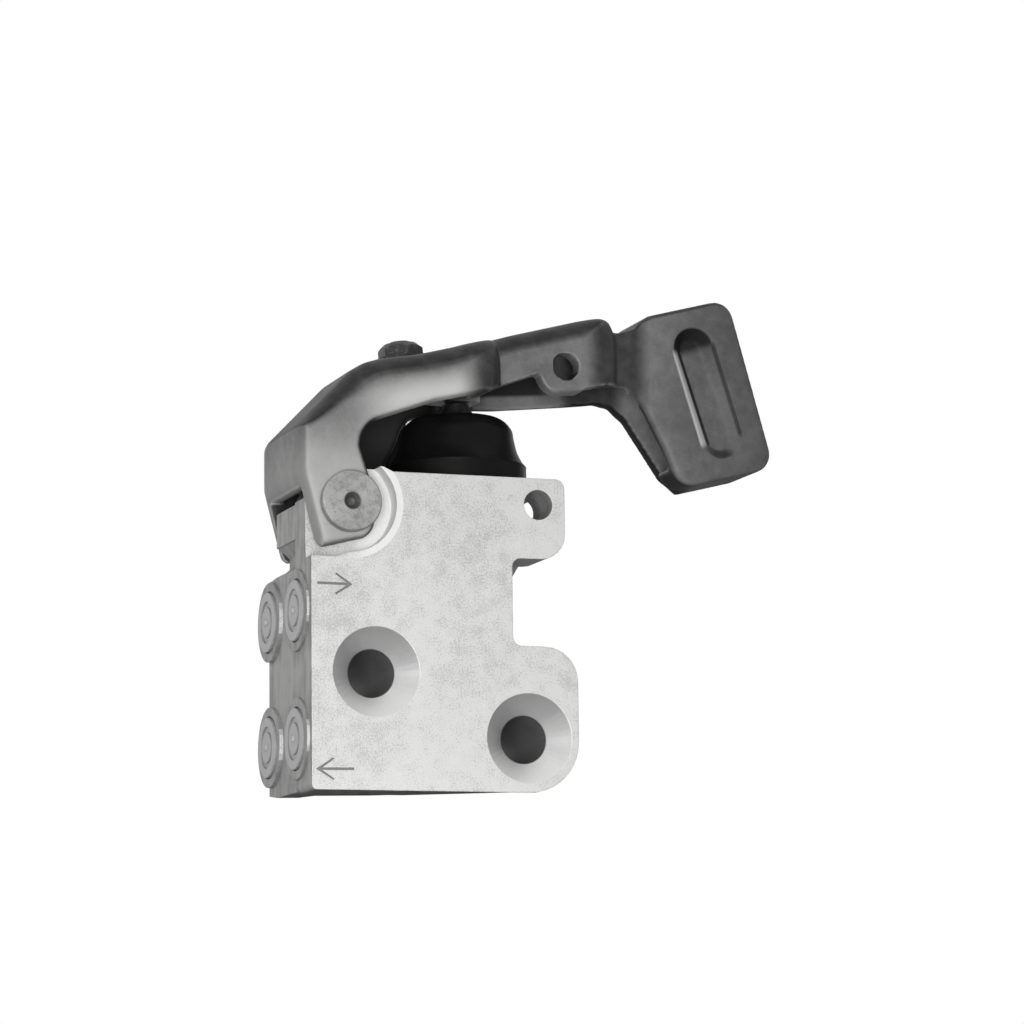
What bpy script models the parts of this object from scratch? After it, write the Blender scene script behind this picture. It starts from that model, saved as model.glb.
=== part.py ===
"""A twin-circuit brake force regulator with its load lever, in metres.

The housing is a light alloy casting with four line ports on its left end. The lever turns on a pin in the
housing's lug. Through a leaf in its channel it presses a thrust cap under a rubber boot, an equaliser beam
shares that force between two pistons, and each piston carries the valve of its circuit.
Sizes are given from the lower left corner of the front face: +X right, +Y to the back, +Z up. The empty
that carries everything then puts the origin on the rear mounting face.
"""
import math

import bmesh
import bpy
from mathutils import Matrix, Vector

for old in list(bpy.data.objects):
    bpy.data.objects.remove(old, do_unlink=True)

# Fits and facets
GAP = 0.0003
RUNNING_GAP = 0.0001
ROUND = 40
SMALL_ROUND = 24
COIL_STEPS = 14
COIL_SIDES = 6
WELD_DISTANCE = 0.000003

# Housing casting
BODY_HEIGHT = 0.0725
BODY_DEPTH = 0.038
BODY_RIGHT = 0.0479
EAR_DEPTH = 0.013
CAST_STEP = 0.0003
MOUNT_X = 0.033
MOUNT_Z = 0.020
LOW_EAR_RIGHT = 0.0636
LOW_EAR_TOP = 0.0335
LOW_EAR_CORNER = 0.008
HIGH_EAR_RIGHT = 0.0609
HIGH_EAR_BOTTOM = 0.0537
HIGH_EAR_CORNER = 0.006
NOTCH_FILLET = 0.002
EDGE_RADIUS = 0.0011
TOP_CORNER = 0.0022
BASE_SLOPE = math.radians(7)
REAR_ROUNDING = 0.002

# Mounting holes
HOLE_1 = (0.0152, 0.0267)
HOLE_2 = (0.0516, 0.0124)
HOLE_RADIUS = 0.0054
CONE_RADIUS = 0.0103
CONE_DEPTH = 0.0045
BOSS_2_RADIUS = 0.012
EAR_HOLE = (0.0544, 0.0663)
EAR_HOLE_RADIUS = 0.0035

# Line ports and their transit plugs
PORT_Y = {"front": 0.0109, "rear": 0.0335}
PORT_Z = {"high": 0.0414, "low": 0.0122}
PORT_BOSS_RADIUS = 0.0093
PORT_BOSS_PROUD = 0.0006
PORT_BOSS_LENGTH = 0.014
PORT_RADIUS = 0.0050
PORT_LENGTH = 0.011
SPOTFACE_RADIUS = 0.0073
SPOTFACE_DEPTH = 0.0005
PLUG_FLANGE = 0.0008
DRILLING_RADIUS = 0.0015

# Pivot
PIVOT = (0.009, 0.065)
PIN_RADIUS = 0.004
PIN_HEAD_RADIUS = 0.007
PIN_HEAD_THICKNESS = 0.002
PIN_CENTRE_RADIUS = 0.002
BUSH_WALL = 0.0011
LUG_FRONT = 0.0045
LUG_REAR = 0.0295
RECESS_RADIUS = 0.0113
REAR_RECESS_RADIUS = 0.0127
RECESS_BOTTOM = 0.0526
NECK_GROOVE = 0.0034
NECK_GROOVE_LOW = 0.0510
NECK_GROOVE_HIGH = 0.0582
CLIP_THICKNESS = 0.001
CLIP_RADIUS = 0.0062
PIN_TAIL = 0.0016

# Lever casting
CHEEK = 0.0046
LEVER_WALL = 0.0045
ARM_FRONT = 0.005
ARM_REAR = 0.029
BLOCK_FRONT = 0.008
BLOCK_REAR = 0.0285
ARM_CHEEK = 0.0045
BLOCK_PLATE = 0.004
CAST_ROUNDING = 0.0070
CAST_STEPS = 6
ROOT_END = 0.0380
SHOULDER_END = 0.0468
STEP_START = 0.0695
STEP_END = 0.0775
CROSS_HOLE = (0.0637, 0.1004)
CROSS_HOLE_RADIUS = 0.0032
CROSS_BOSS_RADIUS = 0.0071
SLOT_CENTRE = (0.1008, 0.0965)
SLOT_LENGTH = 0.033
SLOT_WIDTH = 0.0105
SLOT_DEPTH = 0.0026
SLOT_TILT = math.radians(16.9)

# Adjusting screw and thrust leaf
SCREW_X = 0.0280
SCREW_TILT = math.radians(5)
SCREW_RADIUS = 0.0029
SCREW_TOP = 0.1070
SCREW_SOCKET = 0.0015
NUT_SEAT = 0.1022
NUT_SEAT_RADIUS = 0.0057
NUT_FLATS = 0.0094
NUT_HEIGHT = 0.0040
LEAF_WIDTH = 0.0084
LEAF_THICKNESS = 0.002
LEAF_BEND_X = 0.0225
LEAF_START_X = 0.0165
LEAF_END_X = 0.046
LEAF_TIP_DROP = 0.0005
RIVET_X = 0.0192
RIVET_RADIUS = 0.0014
RIVET_HEAD_RADIUS = 0.0027
RIVET_HEAD = 0.0012
RIVET_LENGTH = 0.0052

# Valve group under the boot
VALVE_X = 0.0415
VALVE_Y = 0.020
VALVE_PITCH = 0.014
STROKE = 0.0017
BORE_RADIUS = 0.0045
BORE_FLOOR = 0.020
COUNTERBORE_RADIUS = 0.0052
COUNTERBORE_FLOOR = BODY_HEIGHT - 0.0165
GALLERY_RADIUS = 0.0018
GALLERY_OFFSET = 0.0026
HEAD_SEAT_RADIUS = 0.0172
HEAD_SEAT_THICKNESS = 0.0024
HEAD_RADIUS = 0.0142
HEAD_HEIGHT = 0.018
HEAD_CONE = 0.030
SPIGOT_RADIUS = 0.0137
SPIGOT_WALL = 0.0012
SPIGOT_HEIGHT = 0.0034
STEM_RADIUS = 0.0025
STEM_CLEARANCE = 0.0002
STEM_TOP = BODY_HEIGHT + 0.0052
PISTON_HEAD_TOP = 0.037
PISTON_HEAD_BOTTOM = 0.029
PISTON_GROOVE = 0.002
PISTON_GROOVE_DEPTH = 0.001
PISTON_HOLE_RADIUS = 0.0018
PASSAGE_RADIUS = 0.0008
PASSAGE_RISE = 0.0034
SEAL_HEIGHT = 0.0036
SLEEVE_TOP = BODY_HEIGHT + 0.0015
VALVE_SEAT_HEIGHT = 0.0012
VALVE_SEAT_BORE = 0.00085
POPPET_PIN_RADIUS = 0.00055
POPPET_RADIUS = 0.0013
POPPET_HEIGHT = 0.0013
POPPET_SPRING_CLOSED = 0.0026
PISTON_WIRE = 0.00045
PISTON_COIL_RADIUS = 0.0036
PISTON_COILS = 4.5
POPPET_WIRE = 0.0002
POPPET_COIL_RADIUS = 0.0011
POPPET_COILS = 3.5

# Boot, thrust cap and beam
BOOT_RADIUS = 0.0163
BOOT_FOOT_HEIGHT = 0.0045
BOOT_NECK_RADIUS = 0.0132
BOOT_ROOF_RADIUS = 0.0098
BOOT_WALL = 0.0015
BOOT_TOP = BODY_HEIGHT + 0.0168
BOOT_RING_WALL = 0.0008
BOOT_RING_HEIGHT = 0.0015
BOOT_RING_LIFT = 0.0013
CAP_NECK_RADIUS = 0.0029
CAP_BUTTON_RADIUS = 0.0042
CAP_DISC_RADIUS = 0.009
CAP_DISC_THICKNESS = 0.003
CAP_NOSE_RADIUS = 0.0026
BEAM_WIDTH = 0.008
BEAM_THICKNESS = 0.004
BEAM_OVERHANG = 0.0035

# Flow arrows cut into the front face: tail and point
ARROWS = (((0.0014, 0.0464), (0.0094, 0.0463)), ((0.0098, 0.0047), (0.0013, 0.0046)))
ARROW_LINE = 0.0005
ARROW_BARB = 0.0043
ARROW_DEPTH = 0.00025
ARROW_SPREAD = math.radians(27)


def make_material(name, colour, roughness, metallic):
    material = bpy.data.materials.new(name)
    material.use_nodes = True
    shader = material.node_tree.nodes["Principled BSDF"]
    shader.inputs["Base Color"].default_value = (*colour, 1.0)
    shader.inputs["Roughness"].default_value = roughness
    shader.inputs["Metallic"].default_value = metallic
    return material


def empty(name, location, parent=None):
    axis = bpy.data.objects.new(name, None)
    axis.location = location
    axis.parent = parent
    bpy.context.collection.objects.link(axis)
    return axis


regulator = empty("regulator", (-MOUNT_X, -BODY_DEPTH, -MOUNT_Z))
lever_axis = empty("lever_axis", (PIVOT[0], 0, PIVOT[1]), regulator)
thrust_axis = empty("thrust_axis", (VALVE_X, VALVE_Y, 0), regulator)


def finish(name, mesh_data, location, parent, sharp=32):
    """Closes a bmesh into an object with outward faces, shaded smooth below the sharp angle."""
    bmesh.ops.recalc_face_normals(mesh_data, faces=mesh_data.faces)
    mesh = bpy.data.meshes.new(name)
    mesh_data.to_mesh(mesh)
    mesh_data.free()
    mesh.shade_smooth()
    mesh.set_sharp_from_angle(angle=math.radians(sharp))
    item = bpy.data.objects.new(name, mesh)
    item.parent = parent
    item.location = location
    bpy.context.collection.objects.link(item)
    return item


def prism(name, outline, near, far, location=(0, 0, 0), parent=None, weight=None):
    """Extrudes an outline of (x, z) points along Y; weight gives the bevel weight of each end edge."""
    shape = bmesh.new()
    front = [shape.verts.new((x, near, z)) for x, z in outline]
    back = [shape.verts.new((x, far, z)) for x, z in outline]
    shape.faces.new(front)
    shape.faces.new(back)
    weights = shape.edges.layers.float.new("bevel_weight_edge")
    for i, corner in enumerate(front):
        j = (i + 1) % len(front)
        shape.faces.new((corner, front[j], back[j], back[i]))
        if weight:
            middle = ((outline[i][0] + outline[j][0]) / 2, (outline[i][1] + outline[j][1]) / 2)
            for pair in ((front[i], front[j]), (back[i], back[j])):
                shape.edges.get(pair)[weights] = weight(middle, pair[0].co.y)
    return finish(name, shape, location, parent or regulator)


def inward(outline):
    """For each corner of an outline, the move that brings every side in by one."""
    count = len(outline)
    area = sum(outline[i - 1][0] * outline[i][1] - outline[i][0] * outline[i - 1][1] for i in range(count))
    turn = 1 if area > 0 else -1
    moves = []
    for i in range(count):
        before = (Vector(outline[i]) - Vector(outline[i - 1])).normalized()
        after = (Vector(outline[(i + 1) % count]) - Vector(outline[i])).normalized()
        normal = Vector((-before.y - after.y, before.x + after.x)).normalized() * turn
        moves.append(normal / max(0.5, normal.dot(Vector((-after.y, after.x)) * turn)))
    return moves


def join_rings(shape, rings):
    """Skins a row of closed rings with the same number of corners, and closes both ends."""
    for first, second in zip(rings, rings[1:]):
        for k in range(len(first)):
            m = (k + 1) % len(first)
            shape.faces.new((first[k], first[m], second[m], second[k]))
    shape.faces.new(rings[0])
    shape.faces.new(rings[-1])


def cast_prism(name, outline, near, far, radius, weight, location=(0, 0, 0), parent=None, plumb=None):
    """A prism along Y with both ends rounded as cast; corners at plumb move only up and down."""
    moves = inward(outline)
    for i, (x, z) in enumerate(outline):
        if plumb is not None and abs(x - plumb) < 1e-6:
            moves[i] = Vector((0, math.copysign(1, moves[i].y)))
    steps = [math.pi / 2 * k / CAST_STEPS for k in range(CAST_STEPS + 1)]
    levels = [(near + radius * (1 - math.cos(a)), radius * (1 - math.sin(a))) for a in steps]
    levels += [(far - radius * (1 - math.cos(a)), radius * (1 - math.sin(a))) for a in reversed(steps)]
    shape = bmesh.new()
    rings = [[shape.verts.new((x + m.x * inset * weight(x, z), y, z + m.y * inset * weight(x, z)))
              for (x, z), m in zip(outline, moves)] for y, inset in levels]
    join_rings(shape, rings)
    return finish(name, shape, location, parent or regulator)


def turned(name, profile, location=(0, 0, 0), parent=None, axis="Z", sides=ROUND, open_core=False):
    """Turns (radius, height) points about an axis; open_core closes the profile into a ring."""
    shape = bmesh.new()
    rings = []
    for radius, height in profile:
        if radius < 1e-7:
            rings.append([shape.verts.new((0, 0, height))])
            continue
        angles = [2 * math.pi * (k + 0.5) / sides for k in range(sides)]
        rings.append([shape.verts.new((radius * math.cos(a), radius * math.sin(a), height)) for a in angles])
    pairs = list(zip(rings, rings[1:]))
    if open_core:
        pairs.append((rings[-1], rings[0]))
    for low, high in pairs:
        for k in range(sides):
            m = (k + 1) % sides
            corners = [low[k % len(low)], low[m % len(low)], high[m % len(high)], high[k % len(high)]]
            shape.faces.new(list(dict.fromkeys(corners)))
    turn = {"X": Matrix.Rotation(math.pi / 2, 4, "Y"), "Y": Matrix.Rotation(-math.pi / 2, 4, "X")}
    if axis in turn:
        shape.transform(turn[axis])
    return finish(name, shape, location, parent or regulator)


def rod(name, radius, low, high, location, parent=None, axis="Z", sides=ROUND):
    profile = ((0, low), (radius, low), (radius, high), (0, high))
    return turned(name, profile, location, parent, axis, sides)


def coil(name, radius, wire, turns, low, high, location, parent):
    """A helical spring with flattened end turns, its centre line between the two heights."""
    steps = round(turns * COIL_STEPS)
    shape = bmesh.new()
    rings = []
    for i in range(steps + 1):
        share = i / steps
        eased = min(max((share * turns - 0.75) / (turns - 1.5), 0), 1)
        angle = 2 * math.pi * turns * share
        out = Vector((math.cos(angle), math.sin(angle), 0))
        centre = out * radius + Vector((0, 0, low + wire + (high - low - 2 * wire) * eased))
        around = [2 * math.pi * k / COIL_SIDES for k in range(COIL_SIDES)]
        rings.append([shape.verts.new(centre + wire * (out * math.cos(a) + Vector((0, 0, math.sin(a)))))
                      for a in around])
    for first, second in zip(rings, rings[1:]):
        for k in range(COIL_SIDES):
            m = (k + 1) % COIL_SIDES
            shape.faces.new((first[k], first[m], second[m], second[k]))
    shape.faces.new(rings[0])
    shape.faces.new(rings[-1])
    return finish(name, shape, location, parent, 60)


def arc(centre, radius, start, end, steps=6):
    """Points on a circle in the (x, z) plane, with angles in degrees from +X towards +Z."""
    angles = [math.radians(start + (end - start) * k / steps) for k in range(steps + 1)]
    return [(centre[0] + radius * math.cos(a), centre[1] + radius * math.sin(a)) for a in angles]


def combine(target, tool, operation):
    tool.hide_render = True
    tool.display_type = "WIRE"
    change = target.modifiers.new(tool.name, "BOOLEAN")
    change.operation = operation
    change.object = tool
    change.solver = "EXACT"


def cut(target, *tools):
    for tool in tools:
        combine(target, tool, "DIFFERENCE")


def join(target, *tools):
    for tool in tools:
        combine(target, tool, "UNION")


def bevel(target, width, segments, weighted=False):
    change = target.modifiers.new("rounding", "BEVEL")
    change.width = width
    change.segments = segments
    change.limit_method = "WEIGHT" if weighted else "ANGLE"
    change.angle_limit = math.radians(50)
    change.use_clamp_overlap = True


def weld(target):
    """Closes the seams of a micron that a long chain of Booleans leaves."""
    change = target.modifiers.new("weld", "WELD")
    change.merge_threshold = WELD_DISTANCE


def settle(items):
    """Applies the modifiers, then marks the sharp edges that the cuts have made."""
    graph = bpy.context.evaluated_depsgraph_get()
    shapes = [(item, bpy.data.meshes.new_from_object(item.evaluated_get(graph))) for item in items]
    for item, shape in shapes:
        item.modifiers.clear()
        item.data = shape
        shape.shade_smooth()
        shape.set_sharp_from_angle(angle=math.radians(32))


def paint(item, material):
    item.data.materials.append(material)
    return item


# The housing: a front plate with two ears, the full-depth body behind it, and the seats of everything else.


def front_outline():
    """The front face, from the lower left corner anticlockwise, with the pivot lug at its upper left."""
    low_corner = (LOW_EAR_RIGHT - LOW_EAR_CORNER, LOW_EAR_TOP - LOW_EAR_CORNER)
    high_corner = (HIGH_EAR_RIGHT - HIGH_EAR_CORNER, HIGH_EAR_BOTTOM + HIGH_EAR_CORNER)
    top_corner = (HIGH_EAR_RIGHT - TOP_CORNER, BODY_HEIGHT - TOP_CORNER)
    wall = BODY_RIGHT + NOTCH_FILLET
    boss = (LOW_EAR_RIGHT - BOSS_2_RADIUS, BOSS_2_RADIUS)
    return (
        arc((EDGE_RADIUS, EDGE_RADIUS), EDGE_RADIUS, 180, 270, 3)
        + arc(boss, BOSS_2_RADIUS, 270, 360, 10)
        + arc(low_corner, LOW_EAR_CORNER, 0, 90, 8)
        + arc((wall, LOW_EAR_TOP + NOTCH_FILLET), NOTCH_FILLET, 270, 180, 4)
        + arc((wall, HIGH_EAR_BOTTOM - NOTCH_FILLET), NOTCH_FILLET, 180, 90, 4)
        + arc(high_corner, HIGH_EAR_CORNER, 270, 360, 6)
        + arc(top_corner, TOP_CORNER, 0, 90, 4)
        + lug_outline()
    )


def lug_outline():
    """The upper left of the body, where the lug's round top clears the lever's web."""
    x, z = PIVOT
    return [(x + 0.0105, BODY_HEIGHT), (x + 0.008, z + 0.0086), (x - 0.0025, z + 0.0086),
            (x - 0.0045, z + 0.0035), (0, z + 0.0015)]


def body_outline():
    """The part of the casting that runs to the rear face, a cast step inside the front outline."""
    s = CAST_STEP
    lug = [(max(x, s), z - s) for x, z in lug_outline()]
    return [(s, s), (BODY_RIGHT - s, s), (BODY_RIGHT - s, BODY_HEIGHT - s)] + lug


def recess_outline(radius):
    """The round pocket beside the lug in which one cheek of the lever turns, open to the left and top."""
    x, z = PIVOT
    return ([(x - 0.003, RECESS_BOTTOM)] + arc(PIVOT, radius, -90, 60, 16)
            + [(x + radius, 0.1), (-0.01, 0.1), (-0.01, RECESS_BOTTOM)])


def neck_groove():
    """The waist in the left side, behind the front plate, between the port bosses and the lug."""
    deep, low, high = NECK_GROOVE, NECK_GROOVE_LOW, NECK_GROOVE_HIGH
    outline = [(-0.003, low), (deep * 0.25, low + 0.0002), (deep, low + 0.0024), (deep, high - 0.0024),
               (deep * 0.25, high), (-0.003, high)]
    return prism("cut_neck_groove", outline, EAR_DEPTH + 0.0005, BODY_DEPTH + 0.02)


def base_slope():
    """The wedge below the casting: its underside rises to the back from a line that nears the front edge."""
    line = ((-0.003, 0.028), (0.005, 0.026), (0.007, 0.0195), (0.019, 0.0165), (0.047, 0.0006), (0.067, 0.0006))
    far = BODY_DEPTH + 0.02
    shape = bmesh.new()
    rings = []
    for x, y in line:
        high = (far - y) * math.tan(BASE_SLOPE)
        rings.append([shape.verts.new(p) for p in ((x, y, 0), (x, far, high), (x, far, -0.01), (x, y, -0.01))])
    for first, second in zip(rings, rings[1:]):
        for k in range(4):
            shape.faces.new((first[k], first[(k + 1) % 4], second[(k + 1) % 4], second[k]))
    shape.faces.new(rings[0])
    shape.faces.new(rings[-1])
    return finish("base_slope", shape, (0, 0, 0), regulator)


def conical_hole(name, place):
    lead = 0.001
    slope = (CONE_RADIUS - HOLE_RADIUS) / CONE_DEPTH
    profile = ((0, -lead), (CONE_RADIUS + lead * slope, -lead), (HOLE_RADIUS, CONE_DEPTH),
               (HOLE_RADIUS, BODY_DEPTH + 0.002), (0, BODY_DEPTH + 0.002))
    return turned(name, profile, (place[0], 0, place[1]), axis="Y")


def arrow(name, tail, point):
    """An engraved flow arrow: one thin line with two barbs, as a closed outline."""
    along = Vector((point[0] - tail[0], point[1] - tail[1])).normalized()
    side = Vector((-along.y, along.x))
    half = ARROW_LINE / 2

    def place(origin, forward, across):
        spot = Vector(origin) + along * forward + side * across
        return (spot.x, spot.y)

    reach = ARROW_BARB * math.cos(ARROW_SPREAD)
    spread = ARROW_BARB * math.sin(ARROW_SPREAD)
    inner = half / math.tan(ARROW_SPREAD) + half / math.sin(ARROW_SPREAD)
    outline = [place(tail, 0, half), place(point, -inner, half), place(point, -reach, spread + half),
               place(point, -reach + half, spread + 2 * half), place(point, half, 0),
               place(point, -reach + half, -spread - 2 * half), place(point, -reach, -spread - half),
               place(point, -inner, -half), place(tail, 0, -half)]
    return prism(name, outline, -0.001, ARROW_DEPTH)


def drilling(name, start, end, radius):
    """A straight oil way between two points."""
    run = Vector(end) - Vector(start)
    way = rod(name, radius, 0, run.length, start, sides=SMALL_ROUND)
    way.rotation_euler = run.to_track_quat("Z", "Y").to_euler()
    return way


def valve_centre(side):
    return VALVE_Y + (-VALVE_PITCH / 2 if side == "front" else VALVE_PITCH / 2)


def port_cutters(side, level):
    """One threaded line port with its spotface, and the drilling from it to the valve bore."""
    y, z = PORT_Y[side], PORT_Z[level]
    tag = f"{side}_{level}"
    face = -PORT_BOSS_PROUD
    profile = ((0, face - 0.001), (SPOTFACE_RADIUS, face - 0.001), (SPOTFACE_RADIUS, face + SPOTFACE_DEPTH),
               (PORT_RADIUS, face + SPOTFACE_DEPTH), (PORT_RADIUS, PORT_LENGTH), (0, PORT_LENGTH + PORT_RADIUS / 2))
    port = turned(f"cut_port_{tag}", profile, (0, y, z), axis="X", sides=SMALL_ROUND)
    end_x = VALVE_X - (GALLERY_OFFSET if level == "low" else 0)
    way = drilling(f"cut_way_{tag}", (PORT_LENGTH, y, z), (end_x, valve_centre(side), z), DRILLING_RADIUS)
    return port, way


def bore_cutters(side):
    """The vertical bore of one circuit: sleeve seat, piston bore and the gallery down to the outlet."""
    y = valve_centre(side)
    profile = ((0, BORE_FLOOR), (BORE_RADIUS, BORE_FLOOR), (BORE_RADIUS, COUNTERBORE_FLOOR),
               (COUNTERBORE_RADIUS, COUNTERBORE_FLOOR), (COUNTERBORE_RADIUS, 0.1), (0, 0.1))
    bore = turned(f"cut_bore_{side}", profile, (VALVE_X, y, 0), sides=SMALL_ROUND)
    low = PORT_Z["low"] - DRILLING_RADIUS - 0.0007
    gallery = rod(f"cut_gallery_{side}", GALLERY_RADIUS, low, BORE_FLOOR + 0.001,
                  (VALVE_X - GALLERY_OFFSET, y, 0), sides=SMALL_ROUND)
    return bore, gallery


def rear_edges(middle, y):
    return 1.0 if y > EAR_DEPTH else 0.0


def make_housing(alloy):
    housing = paint(prism("housing", front_outline(), 0, EAR_DEPTH), alloy)
    body = prism("add_body", body_outline(), EAR_DEPTH - 0.001, BODY_DEPTH, weight=rear_edges)
    bevel(body, REAR_ROUNDING, 3, weighted=True)
    boss = rod("add_boss", BOSS_2_RADIUS - CAST_STEP, EAR_DEPTH - 0.001, BODY_DEPTH,
               (HOLE_2[0], 0, BOSS_2_RADIUS), axis="Y")
    top = BODY_HEIGHT - CAST_STEP
    rim = BODY_HEIGHT - CAST_STEP / 3
    seat_profile = ((0, top - HEAD_CONE), (HEAD_RADIUS / 2, top - HEAD_CONE), (HEAD_RADIUS, top - HEAD_HEIGHT),
                    (HEAD_RADIUS, rim - HEAD_SEAT_THICKNESS - 0.001),
                    (HEAD_SEAT_RADIUS, rim - HEAD_SEAT_THICKNESS), (HEAD_SEAT_RADIUS, rim), (0, rim))
    seat = turned("add_boot_seat", seat_profile, (VALVE_X, VALVE_Y, 0))
    join(housing, body, boss, seat)
    for side, y in PORT_Y.items():
        for level, z in PORT_Z.items():
            join(housing, rod(f"add_port_{side}_{level}", PORT_BOSS_RADIUS, -PORT_BOSS_PROUD,
                              PORT_BOSS_LENGTH, (0, y, z), axis="X"))
    spigot = turned("add_spigot", ((SPIGOT_RADIUS - SPIGOT_WALL, top - 0.001), (SPIGOT_RADIUS, top - 0.001),
                                   (SPIGOT_RADIUS, BODY_HEIGHT + SPIGOT_HEIGHT),
                                   (SPIGOT_RADIUS - SPIGOT_WALL, BODY_HEIGHT + SPIGOT_HEIGHT)),
                    (VALVE_X, VALVE_Y, 0), open_core=True)
    cut(housing, base_slope(), neck_groove(), prism("cut_recess_front", recess_outline(RECESS_RADIUS), -0.01, LUG_FRONT),
        prism("cut_recess_rear", recess_outline(REAR_RECESS_RADIUS), LUG_REAR, 0.06))
    join(housing, spigot)
    ear_hole = rod("cut_ear_hole", EAR_HOLE_RADIUS, -0.001, BODY_DEPTH + 0.002, (EAR_HOLE[0], 0, EAR_HOLE[1]),
                   axis="Y", sides=SMALL_ROUND)
    bush_bore = rod("cut_bush_bore", PIN_RADIUS + RUNNING_GAP + BUSH_WALL + GAP, 0, LUG_REAR + 0.001,
                    (PIVOT[0], 0, PIVOT[1]), axis="Y")
    cut(housing, conical_hole("cut_hole_1", HOLE_1), conical_hole("cut_hole_2", HOLE_2), ear_hole, bush_bore)
    for side in PORT_Y:
        cut(housing, *bore_cutters(side))
        for level in PORT_Z:
            cut(housing, *port_cutters(side, level))
    for number, (tail, point) in enumerate(ARROWS):
        cut(housing, arrow(f"cut_arrow_{number}", tail, point))
    weld(housing)
    return housing


def make_port_plug(side, level, plastic):
    """A transit plug: flange in the spotface, hollow shank in the port, a small nub at its centre."""
    face = -PORT_BOSS_PROUD + SPOTFACE_DEPTH - GAP
    front = face - PLUG_FLANGE
    shank = PORT_RADIUS - GAP
    profile = ((0, front - 0.0005), (0.0007, front - 0.0005), (0.0009, front), (0.0036, front),
               (0.0036, front + 0.0004), (0.0049, front + 0.0004), (0.0049, front),
               (SPOTFACE_RADIUS - GAP, front), (SPOTFACE_RADIUS - GAP, face), (shank, face),
               (shank, PORT_LENGTH - 0.002), (shank - 0.001, PORT_LENGTH - 0.001),
               (shank - 0.002, PORT_LENGTH - 0.001), (shank - 0.002, 0.002), (0, 0.002))
    plug = turned(f"port_plug_{side}_{level}", profile, (0, PORT_Y[side], PORT_Z[level]), axis="X", sides=SMALL_ROUND)
    return paint(plug, plastic)


# The pivot: a headed pin through both cheeks, turning in a bush in the lug, kept by a ring at the back.


def lever_front():
    return LUG_FRONT - GAP - CHEEK


def lever_rear():
    return LUG_REAR + GAP + CHEEK


def make_pivot(steel, bronze):
    head_back = lever_front() - GAP
    head_front = head_back - PIN_HEAD_THICKNESS
    groove = lever_rear() + GAP
    end = groove + CLIP_THICKNESS + GAP + PIN_TAIL
    core = PIN_RADIUS - 0.0008
    rim = 0.0003
    profile = ((0, head_front + 0.0016), (PIN_CENTRE_RADIUS * 0.45, head_front + 0.0014),
               (PIN_CENTRE_RADIUS, head_front), (PIN_HEAD_RADIUS - rim, head_front),
               (PIN_HEAD_RADIUS, head_front + rim), (PIN_HEAD_RADIUS, head_back), (PIN_RADIUS, head_back),
               (PIN_RADIUS, groove), (core, groove), (core, groove + CLIP_THICKNESS + 2 * RUNNING_GAP),
               (PIN_RADIUS, groove + CLIP_THICKNESS + 2 * RUNNING_GAP), (PIN_RADIUS, end - rim),
               (PIN_RADIUS - rim, end), (0, end))
    paint(turned("pivot_pin", profile, parent=lever_axis, axis="Y"), steel)
    low = groove + RUNNING_GAP
    ring = turned("pin_retaining_ring", ((core + RUNNING_GAP, low), (CLIP_RADIUS, low),
                                         (CLIP_RADIUS, low + CLIP_THICKNESS),
                                         (core + RUNNING_GAP, low + CLIP_THICKNESS)),
                  parent=lever_axis, axis="Y", open_core=True)
    gap = prism("cut_ring_gap", [(-0.0012, 0), (0.0012, 0), (0.0022, -0.02), (-0.0022, -0.02)], low - 0.001,
                low + 0.002, parent=lever_axis)
    cut(ring, gap)
    paint(ring, steel)
    inner = PIN_RADIUS + RUNNING_GAP
    bush = turned("pivot_bush", ((inner, LUG_FRONT), (inner + BUSH_WALL, LUG_FRONT),
                                 (inner + BUSH_WALL, LUG_REAR), (inner, LUG_REAR)),
                  (PIVOT[0], 0, PIVOT[1]), axis="Y", open_core=True)
    paint(bush, bronze)


# The lever: root with two cheeks, arm and slotted block, hollowed from below into one channel casting.


def root_outline():
    """The cheeks and the first part of the arm, over the arch."""
    return ([(0.0031, 0.0547), (0.0116, 0.0569)] + arc((0.0116, 0.0609), 0.004, -80, 0, 4)
            + [(0.0156, 0.0680), (0.0142, 0.0720)] + arc((0.0192, 0.0782), 0.007, 180, 108, 6)
            + [(0.0304, 0.0896), (ROOT_END, 0.0914), (ROOT_END, 0.1041), (0.0345, 0.1032), (0.0270, 0.1013),
               (0.0180, 0.0998), (0.0145, 0.0987), (0.0110, 0.0966), (-0.0018, 0.0832),
               (-0.0024, 0.0820), (-0.0024, 0.0720), (0.0017, 0.0560)])


def along(points, x):
    """The height of a line of (x, z) points at one place."""
    for (x0, z0), (x1, z1) in zip(points, points[1:]):
        if x <= x1:
            return z0 + (z1 - z0) * (x - x0) / (x1 - x0)
    return points[-1][1]


def turn_in(x, start, end, outer, inner):
    """A side of the arm that runs over a rounded shoulder, a quarter of an ellipse, from outer to inner."""
    share = min(max((x - start) / (end - start), 0), 1)
    return outer + (inner - outer) * (1 - math.sqrt(1 - share * share))


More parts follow.
